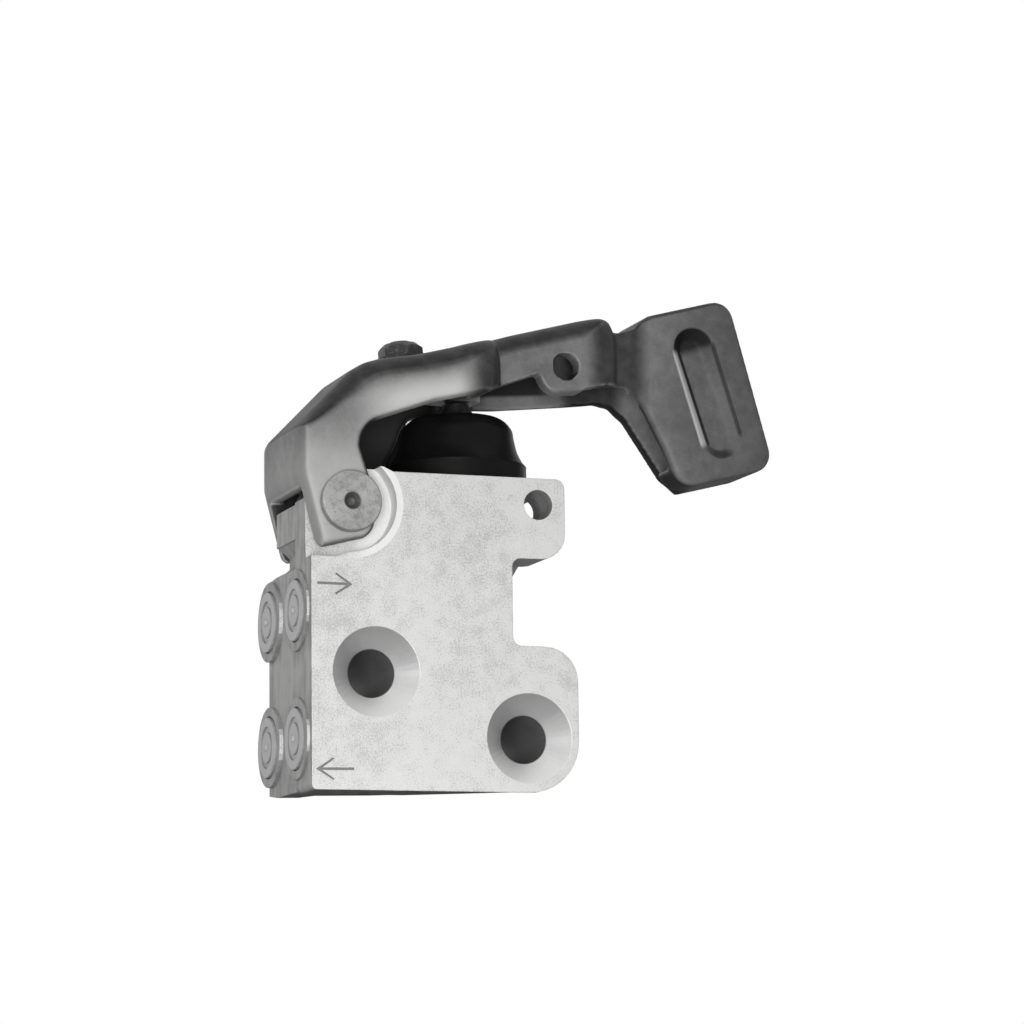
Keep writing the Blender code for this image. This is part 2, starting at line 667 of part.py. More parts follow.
def arm_section(x, shrink):
    """One closed section of the arm: rounded strongly above, slightly below, deeper at its left end."""
    top = along([(0.0345, 0.1032), (0.0450, 0.1062), (0.0520, 0.1083), (0.0695, 0.1129), (0.0740, 0.1137),
                 (0.0755, 0.1128), (0.0765, 0.1110), (0.0778, 0.1097), (0.0800, 0.1088)], x) - shrink
    low = along([(0.0304, 0.0896), (0.0416, 0.0922), (0.0520, 0.0926), (0.0670, 0.0941), (0.0800, 0.0955)],
                x) + shrink
    front = turn_in(x, ROOT_END, SHOULDER_END, lever_front(), ARM_FRONT)
    front += turn_in(x, STEP_START, STEP_END, 0, BLOCK_FRONT + GAP - ARM_FRONT) + shrink
    rear = turn_in(x, ROOT_END, SHOULDER_END, lever_rear(), ARM_REAR)
    rear += turn_in(x, STEP_START, STEP_END, 0, BLOCK_REAR - GAP - ARM_REAR) - shrink
    crown = CAST_ROUNDING * along([(0, 1), (STEP_START, 1), (STEP_START + 0.004, 0.3), (0.1, 0.3)], x)
    foot = CAST_ROUNDING * 0.15
    steps = [math.pi / 2 * k / CAST_STEPS for k in range(CAST_STEPS + 1)]
    bends = [(CAST_ROUNDING * (1 - math.cos(a)), 1 - math.sin(a)) for a in steps]
    return ([(x, front + y, top - crown * fall) for y, fall in bends]
            + [(x, rear - y, top - crown * fall) for y, fall in reversed(bends)]
            + [(x, rear - y, low + foot * fall) for y, fall in bends]
            + [(x, front + y, low + foot * fall) for y, fall in reversed(bends)])


def make_arm():
    """The arm as one skin over its sections, from inside the cheeks' root to inside the block."""
    reach = SHOULDER_END - ROOT_END
    step = STEP_END - STEP_START
    places = [ROOT_END - 0.002, ROOT_END + 0.0002]
    places += [ROOT_END + reach * share for share in (0.25, 0.45, 0.62, 0.76, 0.87, 0.95, 1)]
    places += [0.0520, 0.0580, 0.0640, STEP_START]
    places += [STEP_START + step * share for share in (0.25, 0.45, 0.62, 0.75, 0.87, 0.96, 1)] + [0.0800]
    shape = bmesh.new()
    rings = [[shape.verts.new(spot) for spot in arm_section(x, 0.00004 if i == 0 else 0)]
             for i, x in enumerate(places)]
    join_rings(shape, rings)
    return finish("add_arm", shape, (0, 0, 0), regulator)


def front_relief():
    """What the front cheek lacks below its own edge, with the round boss of the cross hole left standing."""
    outline = ([(0.0420, 0.0800), (0.0420, 0.0921), (0.0468, 0.0945), (0.0498, 0.0957), (0.0572, 0.0984)]
               + arc(CROSS_HOLE, CROSS_BOSS_RADIUS, 212, 315, 10)
               + [(0.0740, 0.0965), (0.0800, 0.0965), (0.0800, 0.0800)])
    return prism("cut_front_relief", outline, -0.01, ARM_FRONT + ARM_CHEEK + 0.003)


def block_outline():
    """The slotted end block, its corners rounded as cast."""
    return ([(0.0765, 0.0963), (0.0800, 0.0954), (0.0825, 0.0949), (0.0850, 0.0917), (0.0898, 0.0825)]
            + arc((0.0967, 0.0794), 0.0052, 205, 282, 6)
            + arc((0.1125, 0.0826), 0.0045, -72, 15, 6)
            + arc((0.1037, 0.1146), 0.0045, 17, 108, 5)
            + [(0.0864, 0.1147), (0.0841, 0.1131), (0.0828, 0.1114), (0.0788, 0.1101), (0.0760, 0.1100)])


def rear_cheek():
    """The rear cheek is wider than the front one: it fills the space up to the boot."""
    outline = [(0.0110, 0.0620), (0.0155, 0.0722), (0.0168, 0.0745), (0.0262, 0.0747), (0.0274, 0.0800),
               (0.0297, 0.0840), (0.0311, 0.0880), (0.0327, 0.0905), (0.0342, 0.0935), (0.0250, 0.0935),
               (0.0110, 0.0850)]
    return prism("add_rear_cheek", outline, LUG_REAR + GAP, lever_rear() - 0.0002)


def rear_lip():
    """A thin lip on the rear cheek, which reaches further round the boot."""
    outline = [(0.0200, 0.0752), (0.0296, 0.0752), (0.0301, 0.0775), (0.0313, 0.0805), (0.0323, 0.0840),
               (0.0332, 0.0880), (0.0340, 0.0930), (0.0200, 0.0930)]
    return prism("add_rear_lip", outline, lever_rear() - 0.0014, lever_rear() - 0.0003)


def block_rear_relief():
    """The rear plate's own lower left edge, which lies further right than the front one."""
    outline = [(0.0740, 0.0940), (0.0818, 0.0954), (0.0862, 0.0919), (0.0955, 0.0782), (0.0990, 0.0757),
               (0.1010, 0.0700), (0.0740, 0.0700)]
    return prism("cut_rear_relief", outline, (BLOCK_FRONT + BLOCK_REAR) / 2, ARM_REAR + 0.005)


def lever_hollows():
    """The channel between the cheeks, open below, in the root, the arm and the block."""
    w = LEVER_WALL
    root = [(-0.006, 0.045), (-0.006, 0.0690), (-0.0023 + w, 0.0690), (-0.0023 + w, 0.0803),
            (0.0136, 0.0928), (0.0162, 0.0942), (0.0275, 0.1014 - w), (0.0400, 0.1046 - w), (0.0400, 0.0450)]
    arm = [(0.0380, 0.0800), (0.0380, 0.1037 - w), (0.0520, 0.1077 - w), (0.0735, 0.1133 - w),
           (0.0780, 0.1050), (0.0840, 0.1050), (0.0840, 0.0800)]
    block = [(0.0780, 0.0850), (0.0780, 0.1050), (0.0855, 0.1143 - w), (0.1010, 0.1190 - w),
             (0.1050, 0.1120), (0.1118, 0.0875), (0.1105, 0.0840), (0.1000, 0.0800), (0.0930, 0.0780)]
    return (prism("cut_root_hollow", root, LUG_FRONT - GAP, LUG_REAR + GAP),
            prism("cut_arm_hollow", arm, ARM_FRONT + ARM_CHEEK, ARM_REAR - ARM_CHEEK),
            prism("cut_block_hollow", block, BLOCK_FRONT + BLOCK_PLATE, BLOCK_REAR - BLOCK_PLATE))


def slot_pocket():
    """The blind pocket in the block's front plate, with walls at 45 degrees and round ends."""
    lead = 0.001
    shape = bmesh.new()
    loops = []
    for depth in (-lead, SLOT_DEPTH):
        radius = SLOT_WIDTH / 2 - depth
        reach = (SLOT_LENGTH - SLOT_WIDTH) / 2
        points = arc((0, reach), radius, 0, 180, 10) + arc((0, -reach), radius, 180, 360, 10)
        loops.append([shape.verts.new((x, depth, z)) for x, z in points])
    for k in range(len(loops[0])):
        m = (k + 1) % len(loops[0])
        shape.faces.new((loops[0][k], loops[0][m], loops[1][m], loops[1][k]))
    shape.faces.new(loops[0])
    shape.faces.new(loops[1])
    shape.transform(Matrix.Rotation(SLOT_TILT, 4, "Y").inverted())
    pocket = finish("cut_slot", shape, (SLOT_CENTRE[0], BLOCK_FRONT, SLOT_CENTRE[1]), regulator)
    return pocket


def lever_edges(x, z):
    """Outer edges are cast with the full rounding, those over the arch and the channel with less."""
    if x < 0.008:
        return 0.22
    return 1.0 if z > 0.0955 + 0.22 * (x - 0.012) else 0.15


def screw_place():
    """The adjusting screw's frame: its axis leans with the lever's top."""
    return Matrix.Translation((SCREW_X, VALVE_Y, NUT_SEAT)) @ Matrix.Rotation(-SCREW_TILT, 4, "Y")


def lean(item):
    """Places an object made about the screw's axis, with its zero height on the nut's seat."""
    place = screw_place()
    item.location = place.to_translation() - Vector((PIVOT[0], 0, PIVOT[1]))
    item.rotation_euler = place.to_euler()
    return item


def make_lever(iron):
    lever = cast_prism("lever", root_outline(), lever_front(), lever_rear(), CAST_ROUNDING, lever_edges,
                       (-PIVOT[0], 0, -PIVOT[1]), lever_axis, ROOT_END)
    block = cast_prism("add_block", block_outline(), BLOCK_FRONT, BLOCK_REAR, CAST_ROUNDING / 5, lambda x, z: 1.0)
    seat = lean(rod("add_nut_seat", NUT_SEAT_RADIUS, -0.003, 0, (0, 0, 0), lever_axis, sides=SMALL_ROUND))
    join(lever, make_arm(), block, seat)
    cut(lever, *lever_hollows())
    join(lever, rear_cheek(), rear_lip())
    cut(lever, front_relief(), block_rear_relief(), slot_pocket())
    pin_hole = rod("cut_pin_hole", PIN_RADIUS + RUNNING_GAP, -0.01, 0.05, (0, 0, 0), lever_axis, "Y")
    cross = rod("cut_cross_hole", CROSS_HOLE_RADIUS, -0.01, 0.015, (CROSS_HOLE[0], 0, CROSS_HOLE[1]),
                axis="Y", sides=SMALL_ROUND)
    screw_hole = lean(rod("cut_screw_hole", SCREW_RADIUS + RUNNING_GAP, -0.02, 0.01, (0, 0, 0), lever_axis,
                          sides=SMALL_ROUND))
    rivet_hole = rod("cut_rivet_hole", RIVET_RADIUS + RUNNING_GAP, -0.002, RIVET_LENGTH - RIVET_HEAD
                     - LEAF_THICKNESS + GAP, (0, 0, 0), lever_axis, sides=SMALL_ROUND)
    on_leaf(rivet_hole)
    cut(lever, pin_hole, cross, screw_hole, rivet_hole)
    weld(lever)
    return paint(lever, iron)


# The adjusting screw with its lock nut bears on the thrust leaf, which is riveted under the lever's web.


def web_underside(x):
    """Height of the web's inner face between the rivet and the screw."""
    return 0.0942 + (x - 0.0162) * (0.1014 - LEVER_WALL - 0.0942) / (0.0275 - 0.0162)


def leaf_top(x):
    """Height of the leaf's upper face: along the web to the bend, then down to its free end."""
    bend = web_underside(LEAF_BEND_X) - GAP
    if x <= LEAF_BEND_X:
        return web_underside(x) - GAP
    return bend - LEAF_TIP_DROP * (x - LEAF_BEND_X) / (LEAF_END_X - LEAF_BEND_X)


def on_leaf(item):
    """Places an object made about Z on the leaf's upper face at the rivet, square to it."""
    slope = (web_underside(RIVET_X) - web_underside(LEAF_START_X)) / (RIVET_X - LEAF_START_X)
    item.rotation_euler = (0, -math.atan(slope), 0)
    item.location = (RIVET_X - PIVOT[0], VALVE_Y, leaf_top(RIVET_X) - PIVOT[1])
    return item


def make_leaf(spring_steel, steel):
    tops = [(x, leaf_top(x)) for x in (LEAF_START_X, LEAF_BEND_X, LEAF_END_X)]
    bottoms = [(x, z - LEAF_THICKNESS) for x, z in reversed(tops)]
    outline = [(x - PIVOT[0], z - PIVOT[1]) for x, z in tops + bottoms]
    half = LEAF_WIDTH / 2
    leaf = prism("thrust_leaf", outline, VALVE_Y - half, VALVE_Y + half, parent=lever_axis)
    hole = on_leaf(rod("cut_leaf_hole", RIVET_RADIUS + RUNNING_GAP, -0.006, 0.006, (0, 0, 0), lever_axis,
                       sides=SMALL_ROUND))
    cut(leaf, hole)
    paint(leaf, spring_steel)
    head = -LEAF_THICKNESS - GAP
    profile = ((0, head - RIVET_HEAD), (RIVET_HEAD_RADIUS * 0.7, head - RIVET_HEAD),
               (RIVET_HEAD_RADIUS, head - RIVET_HEAD / 2), (RIVET_HEAD_RADIUS, head), (RIVET_RADIUS, head),
               (RIVET_RADIUS, RIVET_LENGTH - RIVET_HEAD - LEAF_THICKNESS - GAP),
               (0, RIVET_LENGTH - RIVET_HEAD - LEAF_THICKNESS - GAP))
    rivet = on_leaf(turned("leaf_rivet", profile, parent=lever_axis, sides=SMALL_ROUND))
    paint(rivet, steel)


def make_screw(steel):
    tip_x = SCREW_X + (NUT_SEAT - leaf_top(SCREW_X)) * math.tan(SCREW_TILT)
    tip = (leaf_top(tip_x) + GAP - NUT_SEAT) / math.cos(SCREW_TILT)
    top = SCREW_TOP - NUT_SEAT
    r = SCREW_RADIUS
    profile = ((0, tip), (r * 0.55, tip + 0.0001), (r, tip + 0.001), (r, top - 0.0005), (r - 0.0005, top),
               (SCREW_SOCKET, top), (SCREW_SOCKET, top - 0.003), (0, top - 0.003))
    screw = lean(turned("adjusting_screw", profile, parent=lever_axis, sides=SMALL_ROUND))
    paint(screw, steel)
    corner = NUT_FLATS / 2 / math.cos(math.pi / 6)
    flange = 0.0008
    nut = lean(rod("lock_nut", corner, GAP, GAP + NUT_HEIGHT, (0, 0, 0), lever_axis, sides=6))
    chamfer = lean(turned("trim_nut", ((0, GAP), (NUT_SEAT_RADIUS - 0.0001, GAP),
                                       (NUT_SEAT_RADIUS - 0.0001, GAP + flange), (corner, GAP + flange * 2),
                                       (corner, GAP + NUT_HEIGHT - 0.0014),
                                       (NUT_FLATS / 2 - 0.0009, GAP + NUT_HEIGHT), (0, GAP + NUT_HEIGHT)),
                          parent=lever_axis, sides=SMALL_ROUND))
    combine(nut, chamfer, "INTERSECT")
    collar = lean(rod("add_nut_flange", NUT_SEAT_RADIUS - 0.0001, GAP, GAP + flange, (0, 0, 0), lever_axis,
                      sides=SMALL_ROUND))
    join(nut, collar)
    thread = lean(rod("cut_nut_thread", SCREW_RADIUS + RUNNING_GAP, -0.01, 0.01, (0, 0, 0), lever_axis,
                      sides=SMALL_ROUND))
    cut(nut, thread)
    paint(nut, steel)


# The boot over the thrust cap and the equaliser beam, on the housing's spigot.


def button_top():
    return leaf_top(VALVE_X) - LEAF_THICKNESS - GAP


def boot_profile():
    """Outer profile from the foot to the roof's hole, and back inside at the wall's thickness."""
    foot = BODY_HEIGHT + GAP
    bore = SPIGOT_RADIUS + GAP
    shoulder = foot + BOOT_FOOT_HEIGHT
    wall = BOOT_WALL
    rise = BOOT_TOP - shoulder
    groove = bore + BOOT_RING_WALL + GAP
    ring = foot + BOOT_RING_LIFT
    hole = CAP_NECK_RADIUS + GAP
    neck = BOOT_NECK_RADIUS
    side = [(BOOT_RADIUS, shoulder), (BOOT_RADIUS - 0.0005, shoulder + rise * 0.05),
            (neck + 0.0012, shoulder + rise * 0.275), (neck + 0.0003, shoulder + rise * 0.55),
            (neck, shoulder + rise * 0.72), (neck - 0.0006, shoulder + rise * 0.80),
            (neck - 0.0022, BOOT_TOP - 0.0008), (BOOT_ROOF_RADIUS, BOOT_TOP - 0.0001)]
    inside = [(r - wall, min(z, BOOT_TOP - wall) - wall * 0.3) for r, z in reversed(side[1:-1])]
    return ([(bore, foot), (BOOT_RADIUS, foot)] + side
            + [(hole + 0.001, BOOT_TOP), (hole, BOOT_TOP - 0.0003), (hole, BOOT_TOP - wall)]
            + [(BOOT_ROOF_RADIUS - wall, BOOT_TOP - wall)] + inside
            + [(bore, shoulder - 0.0005), (bore, ring + BOOT_RING_HEIGHT + GAP),
               (groove, ring + BOOT_RING_HEIGHT + GAP), (groove, ring - GAP), (bore, ring - GAP)])


def make_boot(rubber, steel):
    place = (VALVE_X, VALVE_Y, 0)
    paint(turned("boot", boot_profile(), place, sides=ROUND, open_core=True), rubber)
    inner = SPIGOT_RADIUS + GAP
    low = BODY_HEIGHT + GAP + BOOT_RING_LIFT
    ring = turned("boot_ring", ((inner, low), (inner + BOOT_RING_WALL, low),
                                (inner + BOOT_RING_WALL, low + BOOT_RING_HEIGHT),
                                (inner, low + BOOT_RING_HEIGHT)), place, sides=ROUND, open_core=True)
    paint(ring, steel)


def beam_top():
    return STEM_TOP + GAP + BEAM_THICKNESS


def make_thrust_parts(steel):
    top = button_top()
    disc_top = BOOT_TOP - BOOT_WALL - 2 * GAP
    lip = BOOT_TOP + GAP
    nose = beam_top() + GAP
    r = CAP_NOSE_RADIUS
    profile = ((0, nose), (r * 0.5, nose + 0.0002), (r, nose + 0.0012), (r, disc_top - CAP_DISC_THICKNESS),
               (CAP_DISC_RADIUS, disc_top - CAP_DISC_THICKNESS + 0.0008), (CAP_DISC_RADIUS, disc_top),
               (CAP_NECK_RADIUS, disc_top), (CAP_NECK_RADIUS, lip), (CAP_BUTTON_RADIUS - 0.0002, lip),
               (CAP_BUTTON_RADIUS, lip + 0.0002), (CAP_BUTTON_RADIUS * 0.7, top - 0.0001), (0, top))
    paint(turned("thrust_cap", profile, parent=thrust_axis), steel)
    half = BEAM_WIDTH / 2
    reach = VALVE_PITCH / 2 + BEAM_OVERHANG
    low = STEM_TOP + GAP
    beam = prism("equaliser_beam", [(-half, low), (half, low), (half, beam_top()), (-half, beam_top())],
                 -reach, reach, parent=thrust_axis)
    bevel(beam, 0.0006, 2)
    paint(beam, steel)


# One circuit's valve: guide sleeve, seals, stepped piston, and the poppet on its seat in the piston.


def make_circuit(side, materials):
    steel, brass, rubber, spring_steel = materials
    axis = empty(f"piston_axis_{side}", (VALVE_X, valve_centre(side), 0), regulator)
    inner = STEM_RADIUS + STEM_CLEARANCE
    outer = COUNTERBORE_RADIUS - GAP
    seal_low = COUNTERBORE_FLOOR + GAP
    sleeve_low = seal_low + SEAL_HEIGHT + GAP
    sleeve = turned(f"guide_sleeve_{side}", ((inner, sleeve_low), (outer, sleeve_low), (outer, SLEEVE_TOP - 0.0004),
                                             (outer - 0.0004, SLEEVE_TOP), (inner, SLEEVE_TOP)), parent=axis,
                    sides=SMALL_ROUND, open_core=True)
    paint(sleeve, brass)
    seal = turned(f"stem_seal_{side}", ((inner, seal_low), (outer, seal_low), (outer, seal_low + SEAL_HEIGHT),
                                        (outer - 0.0008, seal_low + SEAL_HEIGHT),
                                        ((inner + outer) / 2, seal_low + SEAL_HEIGHT * 0.5),
                                        (inner + 0.0004, seal_low + SEAL_HEIGHT), (inner, seal_low + SEAL_HEIGHT)),
                  parent=axis, sides=SMALL_ROUND, open_core=True)
    paint(seal, rubber)
    paint(make_piston(side, axis), steel)
    head = BORE_RADIUS - GAP
    low = piston_groove_low() + RUNNING_GAP
    high = low + PISTON_GROOVE - 2 * RUNNING_GAP
    core = head - PISTON_GROOVE_DEPTH + RUNNING_GAP
    ring = turned(f"piston_seal_{side}", ((core, low), (head, low), (head + 0.0001, (low + high) / 2),
                                          (head, high), (core, high)), parent=axis, sides=SMALL_ROUND, open_core=True)
    paint(ring, rubber)
    spring = coil(f"piston_spring_{side}", PISTON_COIL_RADIUS, PISTON_WIRE, PISTON_COILS, BORE_FLOOR + GAP,
                  PISTON_HEAD_BOTTOM - GAP, (0, 0, 0), axis)
    paint(spring, spring_steel)
    make_valve(side, axis, brass, steel, spring_steel)


def seat_top():
    return PISTON_HEAD_BOTTOM + GAP + VALVE_SEAT_HEIGHT


def poppet_top():
    return seat_top() + GAP + POPPET_HEIGHT


def valve_hole_top():
    """The blind hole leaves the poppet the full stroke, because its pin stays on the bore's floor."""
    return poppet_top() + STROKE + POPPET_SPRING_CLOSED


def piston_groove_low():
    return (PISTON_HEAD_TOP + PISTON_HEAD_BOTTOM - PISTON_GROOVE) / 2


def make_piston(side, axis):
    """A stem through the guide sleeve and a larger head in the bore, hollow for the valve."""
    head = BORE_RADIUS - GAP
    core = head - PISTON_GROOVE_DEPTH
    low = piston_groove_low()
    chamfer = 0.0003
    hole_top = valve_hole_top()
    profile = ((0, hole_top), (PISTON_HOLE_RADIUS, hole_top),
               (PISTON_HOLE_RADIUS, PISTON_HEAD_BOTTOM), (head - chamfer, PISTON_HEAD_BOTTOM),
               (head, PISTON_HEAD_BOTTOM + chamfer), (head, low), (core, low), (core, low + PISTON_GROOVE),
               (head, low + PISTON_GROOVE), (head, PISTON_HEAD_TOP), (STEM_RADIUS, PISTON_HEAD_TOP + chamfer),
               (STEM_RADIUS, STEM_TOP - chamfer), (STEM_RADIUS - chamfer, STEM_TOP), (0, STEM_TOP))
    piston = turned(f"piston_{side}", profile, parent=axis, sides=SMALL_ROUND)
    riser = rod(f"cut_riser_{side}", PASSAGE_RADIUS, hole_top - 0.001, hole_top + PASSAGE_RISE, (0, 0, 0),
                axis, sides=8)
    height = hole_top + PASSAGE_RISE - PASSAGE_RADIUS * 1.2
    across = rod(f"cut_passage_{side}", PASSAGE_RADIUS, -0.006, 0.006, (0, 0, height), axis, "X", sides=8)
    cut(piston, riser, across)
    return piston


def make_valve(side, axis, brass, steel, spring_steel):
    seat_radius = PISTON_HOLE_RADIUS - RUNNING_GAP
    low = PISTON_HEAD_BOTTOM + GAP
    high = seat_top()
    seat = turned(f"valve_seat_{side}", ((VALVE_SEAT_BORE, low), (seat_radius, low), (seat_radius, high),
                                         (VALVE_SEAT_BORE + 0.0002, high), (VALVE_SEAT_BORE, high - 0.0002)),
                  parent=axis, sides=SMALL_ROUND, open_core=True)
    paint(seat, brass)
    disc = high + GAP
    top = poppet_top()
    r = POPPET_PIN_RADIUS
    foot = BORE_FLOOR + GAP
    poppet = turned(f"poppet_{side}", ((0, foot), (r, foot), (r, disc - 0.0001),
                                       (VALVE_SEAT_BORE, disc), (POPPET_RADIUS, disc + 0.0002),
                                       (POPPET_RADIUS, top), (0, top)), parent=axis, sides=SMALL_ROUND)
    paint(poppet, steel)
    spring = coil(f"poppet_spring_{side}", POPPET_COIL_RADIUS, POPPET_WIRE, POPPET_COILS, top + RUNNING_GAP,
                  valve_hole_top() - RUNNING_GAP, (0, 0, 0), axis)
    paint(spring, spring_steel)


def make_regulator():
    alloy = make_material("cast_alloy", (0.74, 0.74, 0.72), 0.48, 0.85)
    plastic = make_material("plug_grey", (0.30, 0.30, 0.30), 0.45, 0.0)
    iron = make_material("dark_casting", (0.20, 0.20, 0.20), 0.42, 0.6)
    steel = make_material("steel", (0.46, 0.46, 0.45), 0.35, 1.0)
    black_steel = make_material("black_steel", (0.05, 0.05, 0.05), 0.35, 0.9)
    spring_steel = make_material("spring_steel", (0.30, 0.30, 0.31), 0.30, 1.0)
    bronze = make_material("bronze", (0.55, 0.38, 0.17), 0.40, 1.0)
    brass = make_material("brass", (0.68, 0.52, 0.24), 0.32, 1.0)
    rubber = make_material("rubber", (0.018, 0.018, 0.018), 0.62, 0.0)
    make_housing(alloy)
    for side in PORT_Y:
        for level in PORT_Z:
            make_port_plug(side, level, plastic)
    make_pivot(steel, bronze)
    make_lever(iron)
    make_leaf(spring_steel, steel)
    make_screw(black_steel)
    make_boot(rubber, steel)
    make_thrust_parts(steel)
    for side in PORT_Y:
        make_circuit(side, (steel, brass, rubber, spring_steel))
    bpy.context.view_layer.update()
    settle([item for item in bpy.data.objects if item.modifiers and not item.hide_render])


make_regulator()
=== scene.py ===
import math

import bmesh
import bpy
from mathutils import Matrix, Vector


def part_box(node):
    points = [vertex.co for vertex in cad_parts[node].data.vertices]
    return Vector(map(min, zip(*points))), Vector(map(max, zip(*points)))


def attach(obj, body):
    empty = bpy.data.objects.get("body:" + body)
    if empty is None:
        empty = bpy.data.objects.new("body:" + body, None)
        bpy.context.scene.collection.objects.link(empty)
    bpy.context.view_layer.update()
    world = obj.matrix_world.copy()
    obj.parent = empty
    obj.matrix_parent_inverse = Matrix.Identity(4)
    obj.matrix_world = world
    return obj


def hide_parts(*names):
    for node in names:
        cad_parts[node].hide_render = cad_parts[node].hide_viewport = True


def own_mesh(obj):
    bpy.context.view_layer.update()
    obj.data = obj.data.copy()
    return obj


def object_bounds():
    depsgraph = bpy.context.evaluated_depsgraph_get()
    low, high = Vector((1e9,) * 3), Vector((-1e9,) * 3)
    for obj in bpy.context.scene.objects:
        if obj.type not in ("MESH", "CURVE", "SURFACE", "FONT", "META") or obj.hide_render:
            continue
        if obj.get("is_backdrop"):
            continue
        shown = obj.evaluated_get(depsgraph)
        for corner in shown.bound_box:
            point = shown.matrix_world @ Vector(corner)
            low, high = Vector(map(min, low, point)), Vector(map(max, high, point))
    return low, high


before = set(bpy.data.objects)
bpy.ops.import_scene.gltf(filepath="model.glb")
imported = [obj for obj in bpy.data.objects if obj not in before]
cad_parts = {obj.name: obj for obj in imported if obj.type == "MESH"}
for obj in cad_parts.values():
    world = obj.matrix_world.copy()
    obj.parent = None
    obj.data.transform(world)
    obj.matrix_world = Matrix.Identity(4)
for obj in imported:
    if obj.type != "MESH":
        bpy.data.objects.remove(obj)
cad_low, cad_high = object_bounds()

# The camera looks up a little at the regulator from its left, from just below the base, through a long lens.
EYE = Vector((-0.2523, -0.7855, -0.0822))
PICTURE_RIGHT = Vector((0.9422, -0.33483, -0.01227))
PICTURE_DOWN = Vector((0.04132, 0.15244, -0.98745))
PICTURE_AHEAD = Vector((0.3325, 0.92987, 0.15747))
LENS_MM = 123.05
SENSOR_MM = 36
CLIP = (0.02, 20)
camera_data = bpy.data.cameras.new("camera")
camera_data.lens = LENS_MM
camera_data.sensor_width = SENSOR_MM
camera_data.clip_start, camera_data.clip_end = CLIP
camera = bpy.data.objects.new("camera", camera_data)
camera.matrix_world = Matrix.Translation(EYE) @ Matrix(
    (PICTURE_RIGHT, -PICTURE_DOWN, -PICTURE_AHEAD)).transposed().to_4x4()
bpy.context.scene.collection.objects.link(camera)
bpy.context.scene.camera = camera
bpy.context.scene.view_settings.view_transform = "Standard"


# The stage: a pale round floor under the casting's base that fades into a white room, and three soft lamps.
# The floor shows the part's shadow but throws none, so that the low front lamp reaches the part. It is clear
# from below, and the room is bright only for the camera, mirrors and glass.
class Wire:
    """One socket on the way to a shader. Arithmetic on it adds Math nodes; node() adds any other node."""

    def __init__(self, tree, socket=None):
        self.tree, self.socket = tree, socket

    def node(self, kind, settings=None, ends=None, out=0):
        made = self.tree.nodes.new("ShaderNode" + kind)
        for name, value in (settings or {}).items():
            setattr(made, name, value)
        for name, value in (ends or {}).items():
            end = made.inputs[name] if isinstance(name, int) else next(
                s for s in made.inputs if s.enabled and s.name == name)
            if isinstance(value, Wire):
                self.tree.links.new(value.socket, end)
            elif isinstance(value, tuple) and len(end.default_value) > len(value):
                end.default_value = (*value, 1)
            else:
                end.default_value = value
        shown = [s for s in made.outputs if s.enabled]
        if not isinstance(out, int):
            shown, out = [s for s in shown if s.name == out], 0
        return Wire(self.tree, shown[out])

    def sum(self, operation, *terms):
        return self.node("Math", {"operation": operation}, dict(enumerate(terms)))

    def __add__(self, other):
        return self.sum("ADD", self, other)

    def __sub__(self, other):
        return self.sum("SUBTRACT", self, other)

    def __rsub__(self, other):
        return self.sum("SUBTRACT", other, self)

    def __mul__(self, other):
        return self.sum("MULTIPLY", self, other)

    __radd__, __rmul__ = __add__, __mul__

    def most(self, other):
        return self.sum("MAXIMUM", self, other)

    def sine(self):
        return self.sum("SINE", self)

    def step(self, start, end):
        """0 before start, 1 after end and smooth between them; start may be the larger."""
        return self.node("MapRange", {"interpolation_type": "SMOOTHSTEP"},
                         {"Value": self, "From Min": start, "From Max": end})

    def within(self, rise, fall):
        """1 between two smooth edges; rise and fall each say where it is 0 and where it is 1."""
        return self.step(*rise) * self.step(*fall)

    def between(self, plain, changed):
        """The colour plain where this mask is 0 and changed where it is 1."""
        return self.node("Mix", {"data_type": "RGBA"}, {"Factor": self, "A": plain, "B": changed})

    def parts(self):
        return [self.node("SeparateXYZ", None, {"Vector": self}, out) for out in range(3)]

    def grain(self, scale, detail=2.0, roughness=0.5, stretch=(1, 1, 1)):
        """Noise on this place, its features about 1/scale metres across."""
        place = self.node("VectorMath", {"operation": "MULTIPLY"}, {0: self, 1: stretch})
        return self.node("TexNoise", None, {"Vector": place, "Scale": float(scale), "Detail": float(detail),
                                            "Roughness": roughness}, "Fac")


FLOOR_RADIUS = 1.6
FLOOR_PALE = (0.82, 0.82, 0.82)
FLOOR_FADE = (0.24, 0.62)
FLOOR_SIDES = 96
FLOOR_MIDDLE = (0.03, -0.018)
FLOOR_GAP = 0.0002
WHITE = (1.0, 1.0, 1.0)
floor_mesh = bmesh.new()
bmesh.ops.create_circle(floor_mesh, cap_ends=True, radius=FLOOR_RADIUS, segments=FLOOR_SIDES)
floor_data = bpy.data.meshes.new("floor")
floor_mesh.to_mesh(floor_data)
floor_mesh.free()
floor = bpy.data.objects.new("floor", floor_data)
floor.location = (*FLOOR_MIDDLE, cad_low.z - FLOOR_GAP)
bpy.context.scene.collection.objects.link(floor)
floor.visible_shadow = False
floor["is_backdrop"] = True
floor_paint = bpy.data.materials.new("pale_floor")
floor_paint.use_nodes = True
floor_paint.node_tree.nodes.clear()
start = Wire(floor_paint.node_tree)
reach = start.node("VectorMath", {"operation": "LENGTH"}, {0: start.node("TexCoord", out="Object")}, "Value")
looked_at = start.node("LightPath", out="Is Camera Ray")
lit_floor = start.node("BsdfDiffuse", None, {"Color": FLOOR_PALE})
white = start.node("Emission", None, {"Color": WHITE, "Strength": 1.0})
seen = start.node("MixShader", None, {0: reach.step(*FLOOR_FADE) * looked_at, 1: lit_floor, 2: white})
underneath = start.node("NewGeometry", out="Backfacing")
